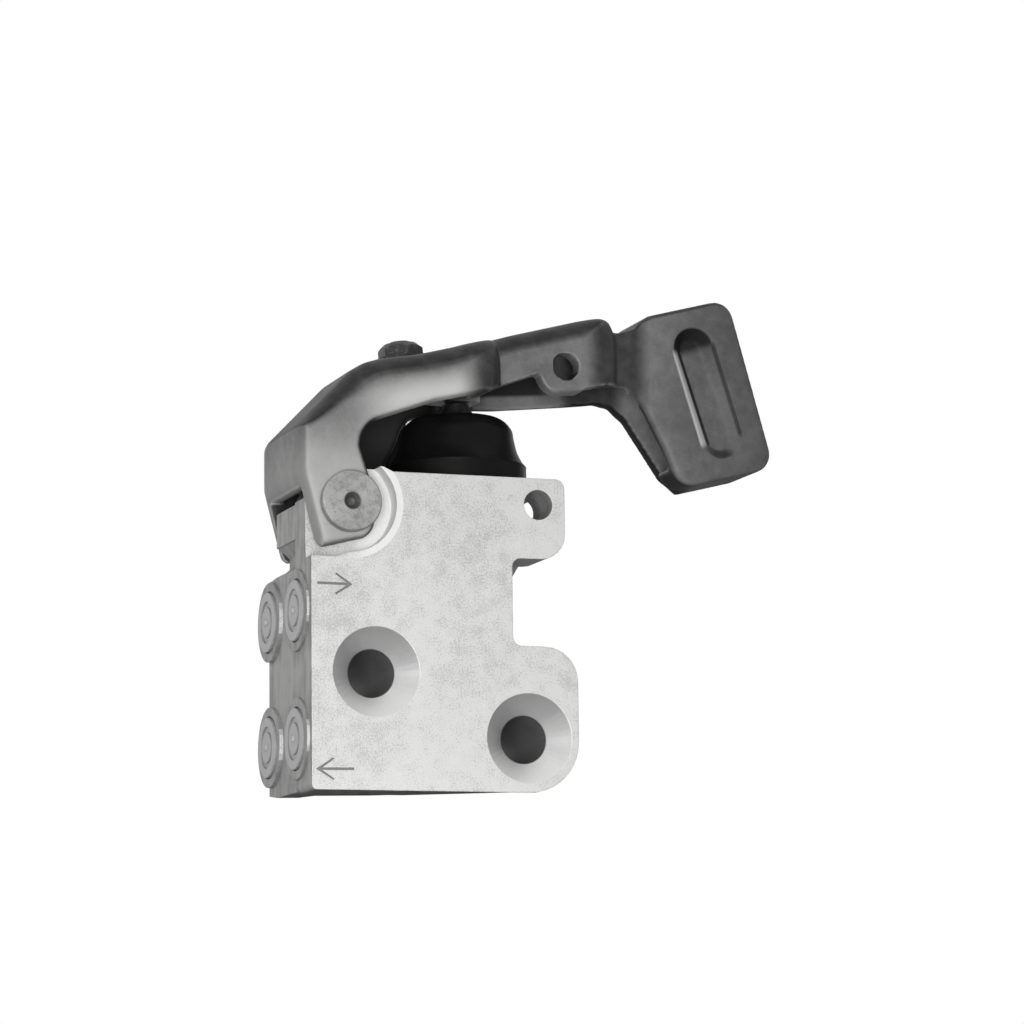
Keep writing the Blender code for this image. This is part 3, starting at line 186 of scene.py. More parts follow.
shown_floor = start.node("MixShader", None, {0: underneath, 1: seen, 2: start.node("BsdfTransparent")})
floor_out = floor_paint.node_tree.nodes.new("ShaderNodeOutputMaterial")
floor_paint.node_tree.links.new(shown_floor.socket, floor_out.inputs["Surface"])
floor.data.materials.append(floor_paint)

ROOM_LIGHT = 0.22
room = bpy.data.worlds.new("white_room")
bpy.context.scene.world = room
room.use_nodes = True
room.node_tree.nodes.clear()
start = Wire(room.node_tree)
looked = start.node("LightPath", out="Is Camera Ray").most(start.node("LightPath", out="Is Glossy Ray")).most(
    start.node("LightPath", out="Is Transmission Ray"))
dim = start.node("Background", None, {"Color": WHITE, "Strength": ROOM_LIGHT})
bright = start.node("Background", None, {"Color": WHITE, "Strength": 1.0})
room_shade = start.node("MixShader", None, {0: looked, 1: dim, 2: bright})
room_out = room.node_tree.nodes.new("ShaderNodeOutputWorld")
room.node_tree.links.new(room_shade.socket, room_out.inputs["Surface"])

MIDDLE = Vector((0.03, -0.02, 0.03))
LAMPS = (("front_lamp", (-0.36, -0.80, -0.16), 0.35, 5.2),
         ("left_lamp", (-0.86, -0.20, -0.04), 0.45, 1.5),
         ("top_lamp", (0.15, 0.10, 0.95), 0.80, 0.7))
for name, aside, size, watts in LAMPS:
    lamp_data = bpy.data.lights.new(name, "AREA")
    lamp_data.size = size
    lamp_data.energy = watts
    lamp = bpy.data.objects.new(name, lamp_data)
    lamp.location = MIDDLE + Vector(aside)
    lamp.rotation_euler = (-Vector(aside)).to_track_quat("-Z", "Y").to_euler()
    lamp.visible_camera = False
    bpy.context.scene.collection.objects.link(lamp)


# The housing: a gravity casting in light alloy. The front and rear faces and the recess beside the lug are
# milled and blasted to a fine speckle, the conical seats are turned, and the rest is grey as cast. Two flow
# arrows are cut in. The lighter recess and lower cone halves are painted light, and the front face's darker
# top, the dark bores and the darkened crevices are painted shade, all placed after the photograph.
HOLES = ((-0.0178, 0.0067), (0.0186, -0.0076))
CONE_EDGE = 0.01035
BORE_EDGE = 0.0056
FRONT_Y = -0.038
ARROW_FLOOR_Y = -0.03775
RECESS_Y = (FRONT_Y + 0.0052, FRONT_Y + 0.0047)
CONE_Y = (FRONT_Y + 0.0052, FRONT_Y + 0.0048)
CONE_SOFT = 0.00008
BORE_SOFT = 0.0001
PIVOT = (-0.024, 0.045)
POCKET_EDGE = (0.01295, 0.0127)
POCKET_LIT = (-0.026, -0.018)
FACE_SHADE = (0.020, 0.060)
ARROW_START = (FRONT_Y + 0.00012, ARROW_FLOOR_Y - 0.00006)
ARROW_END = (FRONT_Y + 0.00045, FRONT_Y + 0.0003)
MILLED = (0.76, 0.76, 0.75)
MILLED_SPECK = (0.42, 0.42, 0.42)
AS_CAST = (0.40, 0.40, 0.395)
AS_CAST_DARK = (0.27, 0.27, 0.27)
POCKET_PAINTED_LIGHT = (0.95, 0.95, 0.94)
CONE_TURNED = (0.50, 0.50, 0.50)
CONE_LIT = (0.90, 0.90, 0.89)
BORE_PAINTED_SHADE = (0.17, 0.17, 0.17)
ENGRAVED = (0.27, 0.265, 0.26)
CREVICE_SHADE_GREY = (0.10, 0.10, 0.10)
TOOL_PITCH = 0.00042


def finish_start(name):
    """A new material's first wire, with its place on the piece and the way its surface faces."""
    material = bpy.data.materials.new(name)
    material.use_nodes = True
    material.node_tree.nodes.clear()
    wire = Wire(material.node_tree)
    return material, wire, wire.node("TexCoord", out="Object"), wire.node("TexCoord", out="Normal")


def shade(material, wire, varying, constant=None):
    """Ends a material in its shader: varying sockets are linked, constant ones are set."""
    shader = material.node_tree.nodes.new("ShaderNodeBsdfPrincipled")
    for name, value in (constant or {}).items():
        shader.inputs[name].default_value = value
    for name, value in varying.items():
        wire.tree.links.new(value.socket, shader.inputs[name])
    out = material.node_tree.nodes.new("ShaderNodeOutputMaterial")
    wire.tree.links.new(shader.outputs["BSDF"], out.inputs["Surface"])
    return material


def bump(wire, height, depth, strength=1.0, rounding=None):
    """A surface relief of the given depth in metres; rounding softens the light on sharp edges."""
    ends = {"Height": height, "Distance": depth, "Strength": strength}
    if rounding:
        ends["Normal"] = wire.node("Bevel", {"samples": 4}, {"Radius": rounding})
    return wire.node("Bump", None, ends)


def hole_distance(wire, place, hole):
    """How far a place is from a hole's axis, which runs along Y."""
    x, _, z = place.parts()
    flat = wire.node("CombineXYZ", None, {"X": x, "Z": z})
    return wire.node("VectorMath", {"operation": "DISTANCE"}, {0: flat, 1: (hole[0], 0.0, hole[1])}, "Value")


alloy, wire, place, facing = finish_start("blasted_alloy")
x, y, z = place.parts()
_, ny, nz = facing.parts()
speck = place.grain(2500, 2, 0.6)
mottle = place.grain(260, 3, 0.55)
cloud = place.grain(42, 2)
pocket = hole_distance(wire, place, PIVOT).step(*POCKET_EDGE) * y.step(*RECESS_Y)
milled = ny.sum("ABSOLUTE", ny).step(0.90, 0.985).most(pocket)
worn_out = (speck * 0.62 + mottle * 0.34 + cloud * 0.26).step(0.56, 0.76)
# The front face darkens towards the top: painted shade.
face_tone = (worn_out * 0.62 + z.step(*FACE_SHADE) * 0.16).between(MILLED, MILLED_SPECK)
drag = place.grain(420, 2, 0.5, (1, 1, 0.18))
sooty = (mottle * 0.25 + drag * 0.45 + cloud * 0.3).step(0.40, 0.62)
cast_tone = sooty.between(AS_CAST, AS_CAST_DARK)
tone = milled.between(cast_tone, face_tone)
engraved = y.within(ARROW_START, ARROW_END)
tone = engraved.between(tone, ENGRAVED)
turned_part = None
rings = None
for hole in HOLES:
    away = hole_distance(wire, place, hole)
    cone = away.step(CONE_EDGE + CONE_SOFT, CONE_EDGE - CONE_SOFT) * y.step(*CONE_Y)
    cone = cone * (1 - milled)
    bore = away.step(BORE_EDGE + BORE_SOFT, BORE_EDGE - BORE_SOFT)
    # The upward-facing lower half of each cone is painted lighter: painted light.
    tone = cone.between(tone, (nz.step(0.05, 0.55) * 0.55).between(CONE_TURNED, CONE_LIT))
    # The bore is painted dark: painted shade.
    tone = bore.between(tone, BORE_PAINTED_SHADE)
    marks = (away * (2 * math.pi / TOOL_PITCH)).sine() * cone
    rings = marks if rings is None else rings + marks
    turned_part = cone if turned_part is None else turned_part + cone
# Crevices darken by ambient occlusion: painted shade, less on the milled faces.
crevice_shade = wire.node("AmbientOcclusion", {"samples": 4}, {"Distance": 0.003}, "AO").step(0.75, 0.35)
tone = (crevice_shade * (0.55 - milled * 0.4)).between(tone, CREVICE_SHADE_GREY)
# The recess's lit end is painted pale: painted light.
tone = (pocket * x.step(*POCKET_LIT) * 0.75).between(tone, POCKET_PAINTED_LIGHT)
rough = 0.60 - milled * 0.10 - turned_part * 0.22 + mottle * 0.12
relief = speck * (1 - turned_part) * 0.8 + mottle * 0.5 + rings * 0.12
shade(alloy, wire, {"Base Color": tone, "Roughness": rough, "Metallic": 0.35 + turned_part * 0.5,
                    "Normal": bump(wire, relief, 0.00011, 0.7, 0.00035)})


def dress(node, material):
    """Gives a CAD node that is shown as it is its finished material."""
    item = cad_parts[node]
    item.data.materials.clear()
    item.data.materials.append(material)


dress("housing", alloy)


# Four transit plugs in the line ports on the left end: moulded grey plastic. They are pressed into the ports
# and come out when the pipes are fitted; the CAD has their rings and gate marks.
PLUG_GREY = (0.32, 0.32, 0.325)
PLUG_PALE_AND_HIGHLIGHT = (0.50, 0.50, 0.505)
PLUG_CREASE_SHADE = (0.12, 0.12, 0.12)
PLUG_RAISED = (-0.0336, -0.0342)
SIDES = ("front", "rear")
LEVELS = ("high", "low")
plastic, wire, place, facing = finish_start("moulded_plastic")
x, _, _ = place.parts()
haze = place.grain(320, 3, 0.6)
streak = place.grain(900, 2, 0.5, (1, 1, 0.25))
raised_highlight = x.step(*PLUG_RAISED)
tone = (haze * 0.8).between(PLUG_GREY, PLUG_PALE_AND_HIGHLIGHT)
# The raised outer end is painted lighter: a painted highlight.
tone = (raised_highlight * 0.4).between(tone, PLUG_PALE_AND_HIGHLIGHT)
# Creases and hollows darken by ambient occlusion: painted shade.
plug_crease_shade = wire.node("AmbientOcclusion", {"samples": 4}, {"Distance": 0.0015}, "AO").step(0.8, 0.35)
tone = (plug_crease_shade * 0.55).between(tone, PLUG_CREASE_SHADE)
shade(plastic, wire, {"Base Color": tone, "Roughness": 0.36 + haze * 0.2,
                      "Normal": bump(wire, streak * 0.6 + haze * 0.4, 0.00006, 0.5, 0.0002)},
      {"Specular IOR Level": 0.5})
for side in SIDES:
    for level in LEVELS:
        dress(f"port_plug_{side}_{level}", plastic)


# The pivot: a turned steel pin with a flat head and a centre drilling, its retaining ring at the back, and
# the bronze bush pressed into the lug. The head carries the lathe's fine rings.
PIN_STEEL = (0.38, 0.38, 0.375)
PIN_DULL = (0.25, 0.25, 0.25)
PIN_DRILLING_SHADE = (0.05, 0.05, 0.05)
DRILLING_EDGE = (0.0023, 0.0017)
LATHE_PITCH = 0.00022
pin_metal, wire, place, facing = finish_start("turned_steel")
away = hole_distance(wire, place, PIVOT)
haze = place.grain(420, 3, 0.6)
fine = place.grain(2600, 1)
lathe = (away * (2 * math.pi / LATHE_PITCH) + haze * 2.0).sine()
stain = (haze * 0.7 + fine * 0.3).step(0.42, 0.66)
tone = stain.between(PIN_STEEL, PIN_DULL)
# The centre drilling is painted near black: painted shade.
centre = away.step(*DRILLING_EDGE)
tone = (centre * 0.8).between(tone, PIN_DRILLING_SHADE)
shade(pin_metal, wire, {"Base Color": tone, "Roughness": 0.40 + haze * 0.18, "Metallic": 0.75 - centre * 0.3,
                        "Normal": bump(wire, lathe * 0.35 + fine * 0.4, 0.00003, 0.6, 0.0002)})
dress("pivot_pin", pin_metal)


def plain_metal(name, light, dark, rough, metallic, scale=600, relief=0.00003):
    """A metal that shows a haze of two tones and a fine drawn or cast grain."""
    material, wire, place, facing = finish_start(name)
    haze = place.grain(scale, 3, 0.6)
    fine = place.grain(scale * 5, 1)
    tone = (haze * 0.7 + fine * 0.3).step(0.36, 0.66).between(light, dark)
    return shade(material, wire, {"Base Color": tone, "Roughness": rough + (haze - 0.5) * 0.25,
                                  "Normal": bump(wire, fine * 0.6 + haze * 0.4, relief, 0.6, 0.0002)},
                 {"Metallic": metallic})


steel = plain_metal("ground_steel", (0.48, 0.48, 0.47), (0.30, 0.30, 0.30), 0.34, 1.0)
bronze = plain_metal("sintered_bronze", (0.56, 0.38, 0.18), (0.34, 0.22, 0.10), 0.45, 0.9, 1400)
dress("pin_retaining_ring", steel)
dress("pivot_bush", bronze)


# The lever: one iron casting, phosphated mid-grey. Root, arm and slotted block run into each other in cast
# radii, so the CAD solid is remeshed finely and its edges are relaxed. The dark tops, sides, shoulder, arm
# end and block, the inner faces, undersides and hollows and the slot's top and lines are painted shade, and
# the band over the arch and the slot's left lip are painted highlights, all placed after the photograph.
LEVER_VOXEL = 0.00055
RELAX_ROUNDS = 6
SLOT = Vector((0.0678, 0.0765))
SLOT_LINE = Vector((-math.sin(math.radians(16.9)), math.cos(math.radians(16.9))))
SLOT_HALF = 0.0113
SLOT_FACE = -0.0300
SLOT_REACH = SLOT_HALF + 0.005
SLOT_ROUND = 0.0055
SLOT_FLOOR_Y = -0.0268
CROSS_HOLE = Vector((0.0307, 0.0804))
CRISP = ((SLOT, 0.0075), (SLOT + SLOT_LINE * SLOT_HALF, 0.0075), (SLOT - SLOT_LINE * SLOT_HALF, 0.0075),
         (CROSS_HOLE, 0.0045), (Vector(PIVOT), 0.0050))
LEVER_GREY = (0.330, 0.330, 0.327)
LEVER_DARK = (0.210, 0.210, 0.210)
LEVER_DEEP_SHADE = (0.016, 0.016, 0.017)
LEVER_WEAR_AND_HIGHLIGHT = (0.66, 0.66, 0.65)
LEVER_SHADE = (0.012, 0.012, 0.012)
# Where the painted shade and highlights lie, in metres: along the lever (X), up (Z), or across and up the
# slot.
ARCH_SLOPE = 0.235
ARCH_BAND = (0.0785, 0.0720)
ARCH_FROM, ARCH_TO = (-0.026, -0.010), (0.009, 0.001)
CHEEK_FROM, CHEEK_BELOW = (-0.010, -0.020), (0.066, 0.052)
SHOULDER_FROM, SHOULDER_TO = (0.002, 0.010), (0.0146, 0.0136)
ARM_END_FROM, ARM_END_TO = (0.033, 0.0400), (0.0560, 0.0490)
ARM_SHADE_X, BLOCK_SHADE_X = (0.000, 0.020), (0.050, 0.085)
INNER_Y, INNER_TO = (-0.026, -0.022), (0.036, 0.030)
LOW_SLOPE = 0.075
LOW_BAND, LOW_FROM = (0.0752, 0.0740), (0.011, 0.014)
UNDER_Y, UNDER_FROM = (SLOT_FACE + 0.0010, SLOT_FACE + 0.0026), (0.034, 0.040)
SLOT_Y_FROM, SLOT_Y_TO = (SLOT_FACE - 0.0003, SLOT_FACE + 0.0001), (-0.0256, -0.0261)
SLOT_UP_FROM, SLOT_UP_TO = (-0.0128, -0.0110), (0.0125, 0.0105)
LIP_FROM, LIP_TO = (-0.0060, -0.0055), (-0.0036, -0.0042)
TOP_Y, TOP_FROM, TOP_TO = (SLOT_FACE + 0.0001, SLOT_FACE + 0.0006), (0.0095, 0.0122), (0.0172, 0.0165)
TOP_LEFT, TOP_RIGHT = (-0.0056, -0.0050), (0.0056, 0.0050)
RIGHT_LINE_FROM, RIGHT_LINE_TO = (0.0044, 0.0049), (0.0057, 0.0053)
LEFT_LINE_FROM, LEFT_LINE_TO = (-0.0036, -0.0033), (-0.0025, -0.0029)


def copy_of(node, name):
    """A new object with the welded mesh of a CAD node."""
    shape = bmesh.new()
    shape.from_mesh(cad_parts[node].data)
    bmesh.ops.remove_doubles(shape, verts=shape.verts, dist=0.000002)
    mesh = bpy.data.meshes.new(name)
    shape.to_mesh(mesh)
    shape.free()
    item = bpy.data.objects.new(name, mesh)
    bpy.context.scene.collection.objects.link(item)
    return item


def settle(item):
    """Applies an object's modifiers to its mesh."""
    graph = bpy.context.evaluated_depsgraph_get()
    mesh = bpy.data.meshes.new_from_object(item.evaluated_get(graph))
    item.modifiers.clear()
    item.data = mesh
    mesh.shade_smooth()


def place_piece(item, material, body, slot, *nodes):
    """Gives a new piece its material and its body, and hides the CAD nodes that it stands for."""
    item.data.materials.clear()
    item.data.materials.append(material)
    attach(item, body)
    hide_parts(*nodes)


casting, wire, place, facing = finish_start("phosphated_casting")
x, y, z = place.parts()
nx, ny, nz = facing.parts()
cloud = place.grain(55, 3, 0.55)
mottle = place.grain(300, 3, 0.6)
sand = place.grain(1700, 2, 0.6)
edge = wire.node("NewGeometry", out="Pointiness")
worn = edge.step(0.515, 0.56) * (mottle * 0.6 + 0.4)
hollow = wire.node("AmbientOcclusion", {"samples": 4}, {"Distance": 0.012}, "AO").step(0.55, 0.15)
above_arch = z - x * ARCH_SLOPE
# A bright band above the arch and on the cheek: painted highlight.
painted_highlight_band = above_arch.step(*ARCH_BAND) * x.step(*ARCH_FROM) * x.step(*ARCH_TO)
painted_highlight_band = painted_highlight_band.most(x.step(*CHEEK_FROM) * z.step(*CHEEK_BELOW) * 0.55)
# The shoulder and the arm's end darken where they turn in: painted shade.
turned_in_shade = x.within(SHOULDER_FROM, SHOULDER_TO) + x.within(ARM_END_FROM, ARM_END_TO)
# Tops, faces turned along the lever, and the arm and block towards the end are darkened: painted shade.
painted_shade_by_facing = (nz.step(0.02, 0.55) * 0.96).most(x.step(*ARM_SHADE_X) * 0.32 + x.step(*BLOCK_SHADE_X) * 0.36)
painted_shade_by_facing = painted_shade_by_facing.most(nx.step(0.10, 0.60) * 0.95).most((0 - nx).step(0.35, 0.85) * 0.50)
painted_shade_by_facing = painted_shade_by_facing.most(turned_in_shade * 0.88)
inner_face = (0 - ny).step(0.5, 0.9) * y.step(*INNER_Y) * x.step(*INNER_TO)
low_edge = (z - x * LOW_SLOPE).step(*LOW_BAND) * x.step(*LOW_FROM)
underside = (0 - nz).step(0.1, 0.5) * y.step(*UNDER_Y) * x.step(*UNDER_FROM)
shade_in = (inner_face * (1 - low_edge)).most(underside)
across = (x - SLOT.x) * SLOT_LINE.y - (z - SLOT.y) * SLOT_LINE.x
upward = (x - SLOT.x) * SLOT_LINE.x + (z - SLOT.y) * SLOT_LINE.y
in_slot = y.within(SLOT_Y_FROM, SLOT_Y_TO)
beside_floor = in_slot * upward.within(SLOT_UP_FROM, SLOT_UP_TO)
# The slot's left lip is painted bright: painted highlight.
lip_highlight = beside_floor * across.within(LIP_FROM, LIP_TO)
slot_top = y.step(*TOP_Y) * in_slot * upward.within(TOP_FROM, TOP_TO) * across.within(TOP_LEFT, TOP_RIGHT)
slot_lines = across.within(RIGHT_LINE_FROM, RIGHT_LINE_TO) + across.within(LEFT_LINE_FROM, LEFT_LINE_TO)
slot_edge = beside_floor * slot_lines * 0.85
tone = (cloud * 0.55 + mottle * 0.3 + sand * 0.15).step(0.36, 0.64).between(LEVER_GREY, LEVER_DARK)
# Painted shade laid over the grey, varied by the mottle.
tone = (painted_shade_by_facing * (0.85 + mottle * 0.25)).between(tone, LEVER_DEEP_SHADE)
# The band over the arch and the cheek is lightened: painted highlight.
tone = (painted_highlight_band * (1 - painted_shade_by_facing) * 0.95).between(tone, LEVER_WEAR_AND_HIGHLIGHT)
# Edges by pointiness are lightened as real wear.
tone = (worn * 0.4).between(tone, LEVER_WEAR_AND_HIGHLIGHT)
# Inner faces, undersides, the slot's top end and its edge lines are painted dark: painted shade.
tone = (shade_in.most(slot_top).most(slot_edge) * 0.94).between(tone, LEVER_SHADE)
# The slot's left lip: painted highlight.
tone = (lip_highlight * 0.9).between(tone, LEVER_WEAR_AND_HIGHLIGHT)
# Hollows darken by ambient occlusion: painted shade.
tone = (hollow * 0.85).between(tone, LEVER_SHADE)
shade(casting, wire, {"Base Color": tone, "Roughness": 0.38 + mottle * 0.12 + sand * 0.06,
                      "Normal": bump(wire, sand * 0.55 + mottle * 0.6, 0.00008, 0.55)},
      {"Metallic": 0.0, "Specular IOR Level": 0.12})
lever = copy_of("lever", "lever_casting")
remesh = lever.modifiers.new("fine_skin", "REMESH")
remesh.mode = "VOXEL"
remesh.voxel_size = LEVER_VOXEL
settle(lever)
kept = lever.vertex_groups.new(name="machined")
for vertex in lever.data.vertices:
    flat = Vector((vertex.co.x, vertex.co.z))
    if any((flat - middle).length < reach for middle, reach in CRISP):
        kept.add([vertex.index], 1.0, "REPLACE")
    rise = (flat - SLOT).dot(SLOT_LINE) / SLOT_REACH
    beside = (flat - SLOT - SLOT_LINE * rise * SLOT_REACH).length
    if SLOT_FACE < vertex.co.y < SLOT_FLOOR_Y and beside < SLOT_ROUND and abs(rise) < 1:
        vertex.co.y = SLOT_FACE + (vertex.co.y - SLOT_FACE) * (0.95 + 0.40 * rise)
relax = lever.modifiers.new("cast_radii", "SMOOTH")
relax.factor = 0.5
relax.iterations = RELAX_ROUNDS
relax.vertex_group = "machined"
relax.invert_vertex_group = True
finest = lever.modifiers.new("tool_marks", "SMOOTH")
finest.factor = 0.5
finest.iterations = 2
settle(lever)
place_piece(lever, casting, "lever_assembly", "dark_casting", "lever")


# The adjusting screw and its lock nut on the lever's top: black phosphated steel. The screw is threaded over
# its whole length and has a hexagon socket; it leans with the lever's top and bears on the leaf below.
SCREW_SEAT = Vector((-0.0050, -0.018, 0.0822))
SCREW_TILT = math.radians(5)
SCREW_OUTER = 0.0029
THREAD_DEPTH = 0.00038
THREAD_PITCH = 0.0008
SCREW_LOW, SCREW_TOP = -0.0064, 0.0048
SOCKET_RADIUS = 0.0015
SOCKET_DEPTH = 0.0026
SCREW_SIDES = 36
black_steel, wire, place, facing = finish_start("black_phosphate")
haze = place.grain(700, 3, 0.6)
fine = place.grain(3200, 1)
edge_light = (haze * 0.6 + fine * 0.4).step(0.50, 0.72)
tone = (edge_light * 0.8).between((0.022, 0.022, 0.023), (0.10, 0.10, 0.10))
shade(black_steel, wire, {"Base Color": tone, "Roughness": 0.34 + haze * 0.18,
                          "Normal": bump(wire, fine, 0.00003, 0.6, 0.0003)},
      {"Metallic": 0.55})
dress("lock_nut", black_steel)


def bridge(shape, first, second):
    """Quads between two rings of as many points."""
    for k in range(len(first)):
        m = (k + 1) % len(first)
        shape.faces.new((first[k], first[m], second[m], second[k]))


def closed_piece(name, shape, sharp=35):
    """Turns a bmesh into an object with outward faces, smooth below the sharp angle."""
    bmesh.ops.recalc_face_normals(shape, faces=shape.faces)
    mesh = bpy.data.meshes.new(name)
    shape.to_mesh(mesh)
    shape.free()
    mesh.shade_smooth()
    mesh.set_sharp_from_angle(angle=math.radians(sharp))
    item = bpy.data.objects.new(name, mesh)
    bpy.context.scene.collection.objects.link(item)
    return item


def around(shape, radius, height, sides):
    """A ring of points; radius is a number or a function of the angle."""
    points = []
    for k in range(sides):
        a = 2 * math.pi * k / sides
        r = radius(a) if callable(radius) else radius
        points.append(shape.verts.new((r * math.cos(a), r * math.sin(a), height)))
    return points


def thread_radius(height):
    """The screw's radius at a height, as a function of the angle; the thread fades out at both ends."""
    def radius(angle):
        turn = (height / THREAD_PITCH - angle / (2 * math.pi)) % 1
        top_fade = max(0.0, (SCREW_TOP - 0.0003 - height) / 0.0004)
        low_fade = max(0.0, (height - SCREW_LOW) / 0.0006)
        fade = min(1.0, top_fade, low_fade)
        return SCREW_OUTER - THREAD_DEPTH * fade * abs(2 * turn - 1)
    return radius


def hexagon(radius):
    """A hexagon's edge as a radius for each angle; the given radius is half its width over flats."""
    return lambda angle: radius / math.cos((angle + math.pi / 6) % (math.pi / 3) - math.pi / 6)


shape = bmesh.new()
rings_up = round((SCREW_TOP - SCREW_LOW) / (THREAD_PITCH / 6))
skin = [around(shape, SCREW_OUTER * 0.6, SCREW_LOW - 0.0002, SCREW_SIDES)]
for k in range(rings_up + 1):
    height = SCREW_LOW + (SCREW_TOP - 0.0004 - SCREW_LOW) * k / rings_up
    skin.append(around(shape, thread_radius(height), height, SCREW_SIDES))
skin.append(around(shape, SCREW_OUTER - 0.0006, SCREW_TOP, SCREW_SIDES))
skin.append(around(shape, hexagon(SOCKET_RADIUS + 0.00012), SCREW_TOP, SCREW_SIDES))
skin.append(around(shape, hexagon(SOCKET_RADIUS), SCREW_TOP - 0.00015, SCREW_SIDES))
skin.append(around(shape, hexagon(SOCKET_RADIUS), SCREW_TOP - SOCKET_DEPTH, SCREW_SIDES))
skin.append(around(shape, 0.0002, SCREW_TOP - SOCKET_DEPTH - 0.0004, SCREW_SIDES))
for low, high in zip(skin, skin[1:]):
    bridge(shape, low, high)
shape.faces.new(skin[0])
shape.faces.new(skin[-1])
shape.transform(Matrix.Translation(SCREW_SEAT) @ Matrix.Rotation(-SCREW_TILT, 4, "Y"))
screw = closed_piece("threaded_screw", shape, 40)
place_piece(screw, black_steel, "lever_assembly", "black_steel", "adjusting_screw")


# The thrust leaf under the lever's web: spring steel, hardened to a brown-blue skin, held by one bright
# rivet. The screw bends its free end down on to the thrust cap.
leaf_metal = plain_metal("hardened_spring_steel", (0.30, 0.30, 0.32), (0.16, 0.14, 0.13), 0.32, 0.95, 240)
dress("thrust_leaf", leaf_metal)
dress("leaf_rivet", steel)


# The boot: black moulded rubber, a stiff foot over the housing's spigot and a wall that narrows to a flat
# roof. A thin parting line runs round it.
BOOT_CENTRE = Vector((0.0085, -0.018, 0.0))
BOOT_FOOT = 0.0528
BOOT_ROOF = 0.0693
BOOT_SIDES = 120
BOOT_WALL = 0.0015
BOOT_SIDE = ((0.01610, 0.0528), (0.01630, 0.0531), (0.01630, 0.0570), (0.01624, 0.0574), (0.01570, 0.0581),
             (0.01435, 0.0606), (0.01350, 0.0639), (0.01318, 0.0659), (0.01260, 0.0669), (0.01190, 0.0678),
             (0.01085, 0.0686), (0.00970, 0.0691), (0.00800, 0.06928), (0.00500, 0.0693))
BOOT_HOLE = 0.0032
BOOT_SHOULDER = 0.0083
BOOT_BORE, BOOT_GROOVE = 0.0140, 0.0151
SEAM_HEIGHT, SEAM_HALF, SEAM_RISE = 0.0577, 0.00025, 0.00012
rubber, wire, place, facing = finish_start("moulded_rubber")
_, _, nz = facing.parts()
_, _, z = place.parts()
haze = place.grain(180, 3, 0.6)
fine = place.grain(2400, 2)
dust = nz.step(0.1, 0.95) * haze.step(0.40, 0.70)
tone = (haze * 0.6).between((0.005, 0.005, 0.0052), (0.012, 0.012, 0.012))
tone = (dust * 0.15).between(tone, (0.05, 0.048, 0.046))
shade(rubber, wire, {"Base Color": tone, "Roughness": 0.30 + haze * 0.22,
                     "Normal": bump(wire, fine * 0.6 + haze * 0.7, 0.00010, 0.5)},
      {"Specular IOR Level": 0.07})


def soft_line(points, steps):
    """A smooth line through the points, a few steps to each stretch."""
    run = [points[0], *points, points[-1]]
    line = []
    for a, b, c, d in zip(run, run[1:], run[2:], run[3:]):
        for k in range(steps):
            t = k / steps
            line.append(tuple(0.5 * (2 * b[i] + (c[i] - a[i]) * t
                                     + (2 * a[i] - 5 * b[i] + 4 * c[i] - d[i]) * t ** 2
                                     + (3 * b[i] - a[i] - 3 * c[i] + d[i]) * t ** 3) for i in (0, 1)))
    return line + [points[-1]]


def lathe_piece(name, profile, centre, sides, sharp=40):
    """Turns a closed (radius, height) profile about a vertical axis."""
    shape = bmesh.new()
    loops = [around(shape, r, h, sides) for r, h in profile]
    for low, high in zip(loops, loops[1:] + loops[:1]):
        bridge(shape, low, high)
    shape.transform(Matrix.Translation(centre))
    return closed_piece(name, shape, sharp)


outer = soft_line(BOOT_SIDE, 4)
outer = [(r + SEAM_RISE * math.exp(-((h - SEAM_HEIGHT) / SEAM_HALF) ** 2), h) for r, h in outer]
inner = [(r - BOOT_WALL * 0.95, min(h, BOOT_ROOF) - BOOT_WALL * 0.6) for r, h in reversed(BOOT_SIDE[4:11])]
profile = (outer + [(BOOT_HOLE + 0.0012, BOOT_ROOF), (BOOT_HOLE + 0.0003, BOOT_ROOF - 0.00015),
                    (BOOT_HOLE, BOOT_ROOF - 0.0006), (BOOT_HOLE, BOOT_ROOF - BOOT_WALL),
                    (BOOT_SHOULDER, BOOT_ROOF - BOOT_WALL)] + inner
           + [(BOOT_BORE, 0.0568), (BOOT_BORE, 0.0564), (BOOT_BORE, 0.0559), (BOOT_GROOVE, 0.0559),
              (BOOT_GROOVE, 0.0538), (BOOT_BORE, 0.0538), (BOOT_BORE, BOOT_FOOT)])
boot = lathe_piece("rubber_boot", profile, BOOT_CENTRE, BOOT_SIDES, 50)
place_piece(boot, rubber, "base", "rubber", "boot")
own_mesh(boot)
dress("boot_ring", steel)


# Under the boot: the thrust cap and the equaliser beam that shares its push between the two stems, both of
# ground steel, and the two brass guide sleeves with their rubber seals in the counterbores.
brass = plain_metal("turned_brass", (0.66, 0.50, 0.23), (0.42, 0.30, 0.12), 0.30, 1.0)
seal_rubber = plain_metal("seal_rubber", (0.014, 0.014, 0.014), (0.035, 0.035, 0.034), 0.50, 0.0, 500,
                          0.00004)
dress("thrust_cap", steel)
dress("equaliser_beam", steel)
for side in SIDES:
    dress(f"guide_sleeve_{side}", brass)
    dress(f"stem_seal_{side}", seal_rubber)


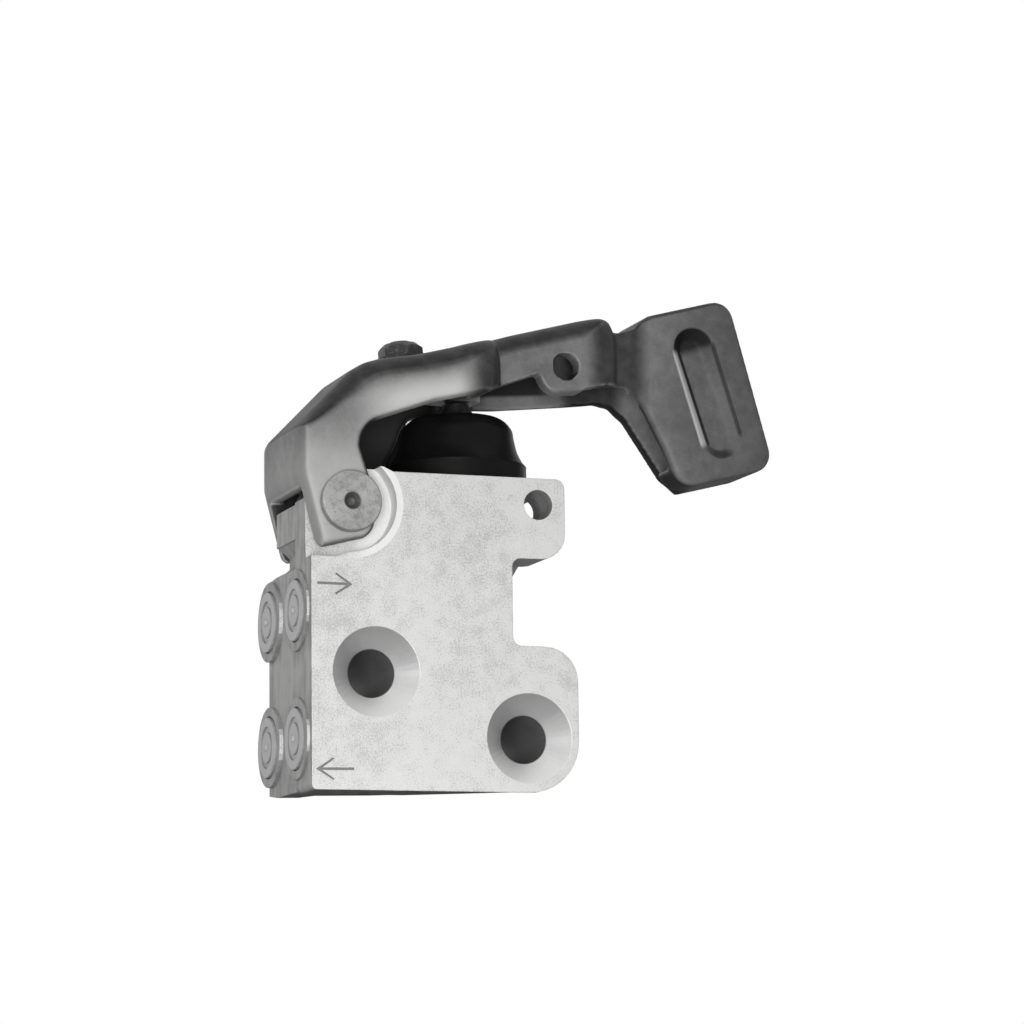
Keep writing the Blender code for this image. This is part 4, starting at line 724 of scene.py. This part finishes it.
# The two circuits' valves: stepped steel pistons with a seal, a brass seat in each head and a poppet on it.
# Their springs are wound from round wire.
WIRE_SIDES = 12
TURN_STEPS = 28
# Name, coil radius, wire radius, turns, body (base, or its name without the side), share kept when shortened.
SPRINGS = (("piston_spring", 0.0036, 0.00045, 4.5, "base", 0.79),
           ("poppet_spring", 0.0011, 0.0002, 3.5, "piston_assembly", 0.57))
END_TURN = 0.75
CIRCUIT_Y = {"front": -0.0250, "rear": -0.0110}
CIRCUIT_X = 0.0085
spring_wire = plain_metal("spring_wire", (0.36, 0.36, 0.37), (0.20, 0.20, 0.21), 0.28, 1.0, 900)


def coil(name, centre, radius, thick, turns, low, high):
    """A compression spring between two heights, its end turns laid flat."""
    shape = bmesh.new()
    steps = round(turns * TURN_STEPS)
    loops = []
    for k in range(steps + 1):
        share = k / steps
        rise = min(max((share * turns - END_TURN) / (turns - 2 * END_TURN), 0), 1)
        angle = 2 * math.pi * turns * share
        out = Vector((math.cos(angle), math.sin(angle), 0))
        middle = centre + out * radius + Vector((0, 0, low + thick + (high - low - 2 * thick) * rise))
        loops.append([shape.verts.new(middle + thick * (out * math.cos(a) + Vector((0, 0, math.sin(a)))))
                      for a in (2 * math.pi * m / WIRE_SIDES for m in range(WIRE_SIDES))])
    for first, second in zip(loops, loops[1:]):
        bridge(shape, first, second)
    shape.faces.new(loops[0])
    shape.faces.new(loops[-1])
    return closed_piece(name, shape, 60)


for side, circuit_y in CIRCUIT_Y.items():
    dress(f"piston_{side}", steel)
    dress(f"piston_seal_{side}", seal_rubber)
    dress(f"valve_seat_{side}", brass)
    dress(f"poppet_{side}", steel)
    for kind, radius, thick, turns, body, keep in SPRINGS:
        box_low, box_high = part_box(f"{kind}_{side}")
        spring = coil(f"{kind}_wound_{side}", Vector((CIRCUIT_X, circuit_y, 0)), radius, thick, turns,
                      box_low.z, box_high.z)
        rides = body if body == "base" else f"{body}_{side}"
        place_piece(spring, spring_wire, rides, "spring_steel", f"{kind}_{side}")
        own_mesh(spring)


low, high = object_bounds()
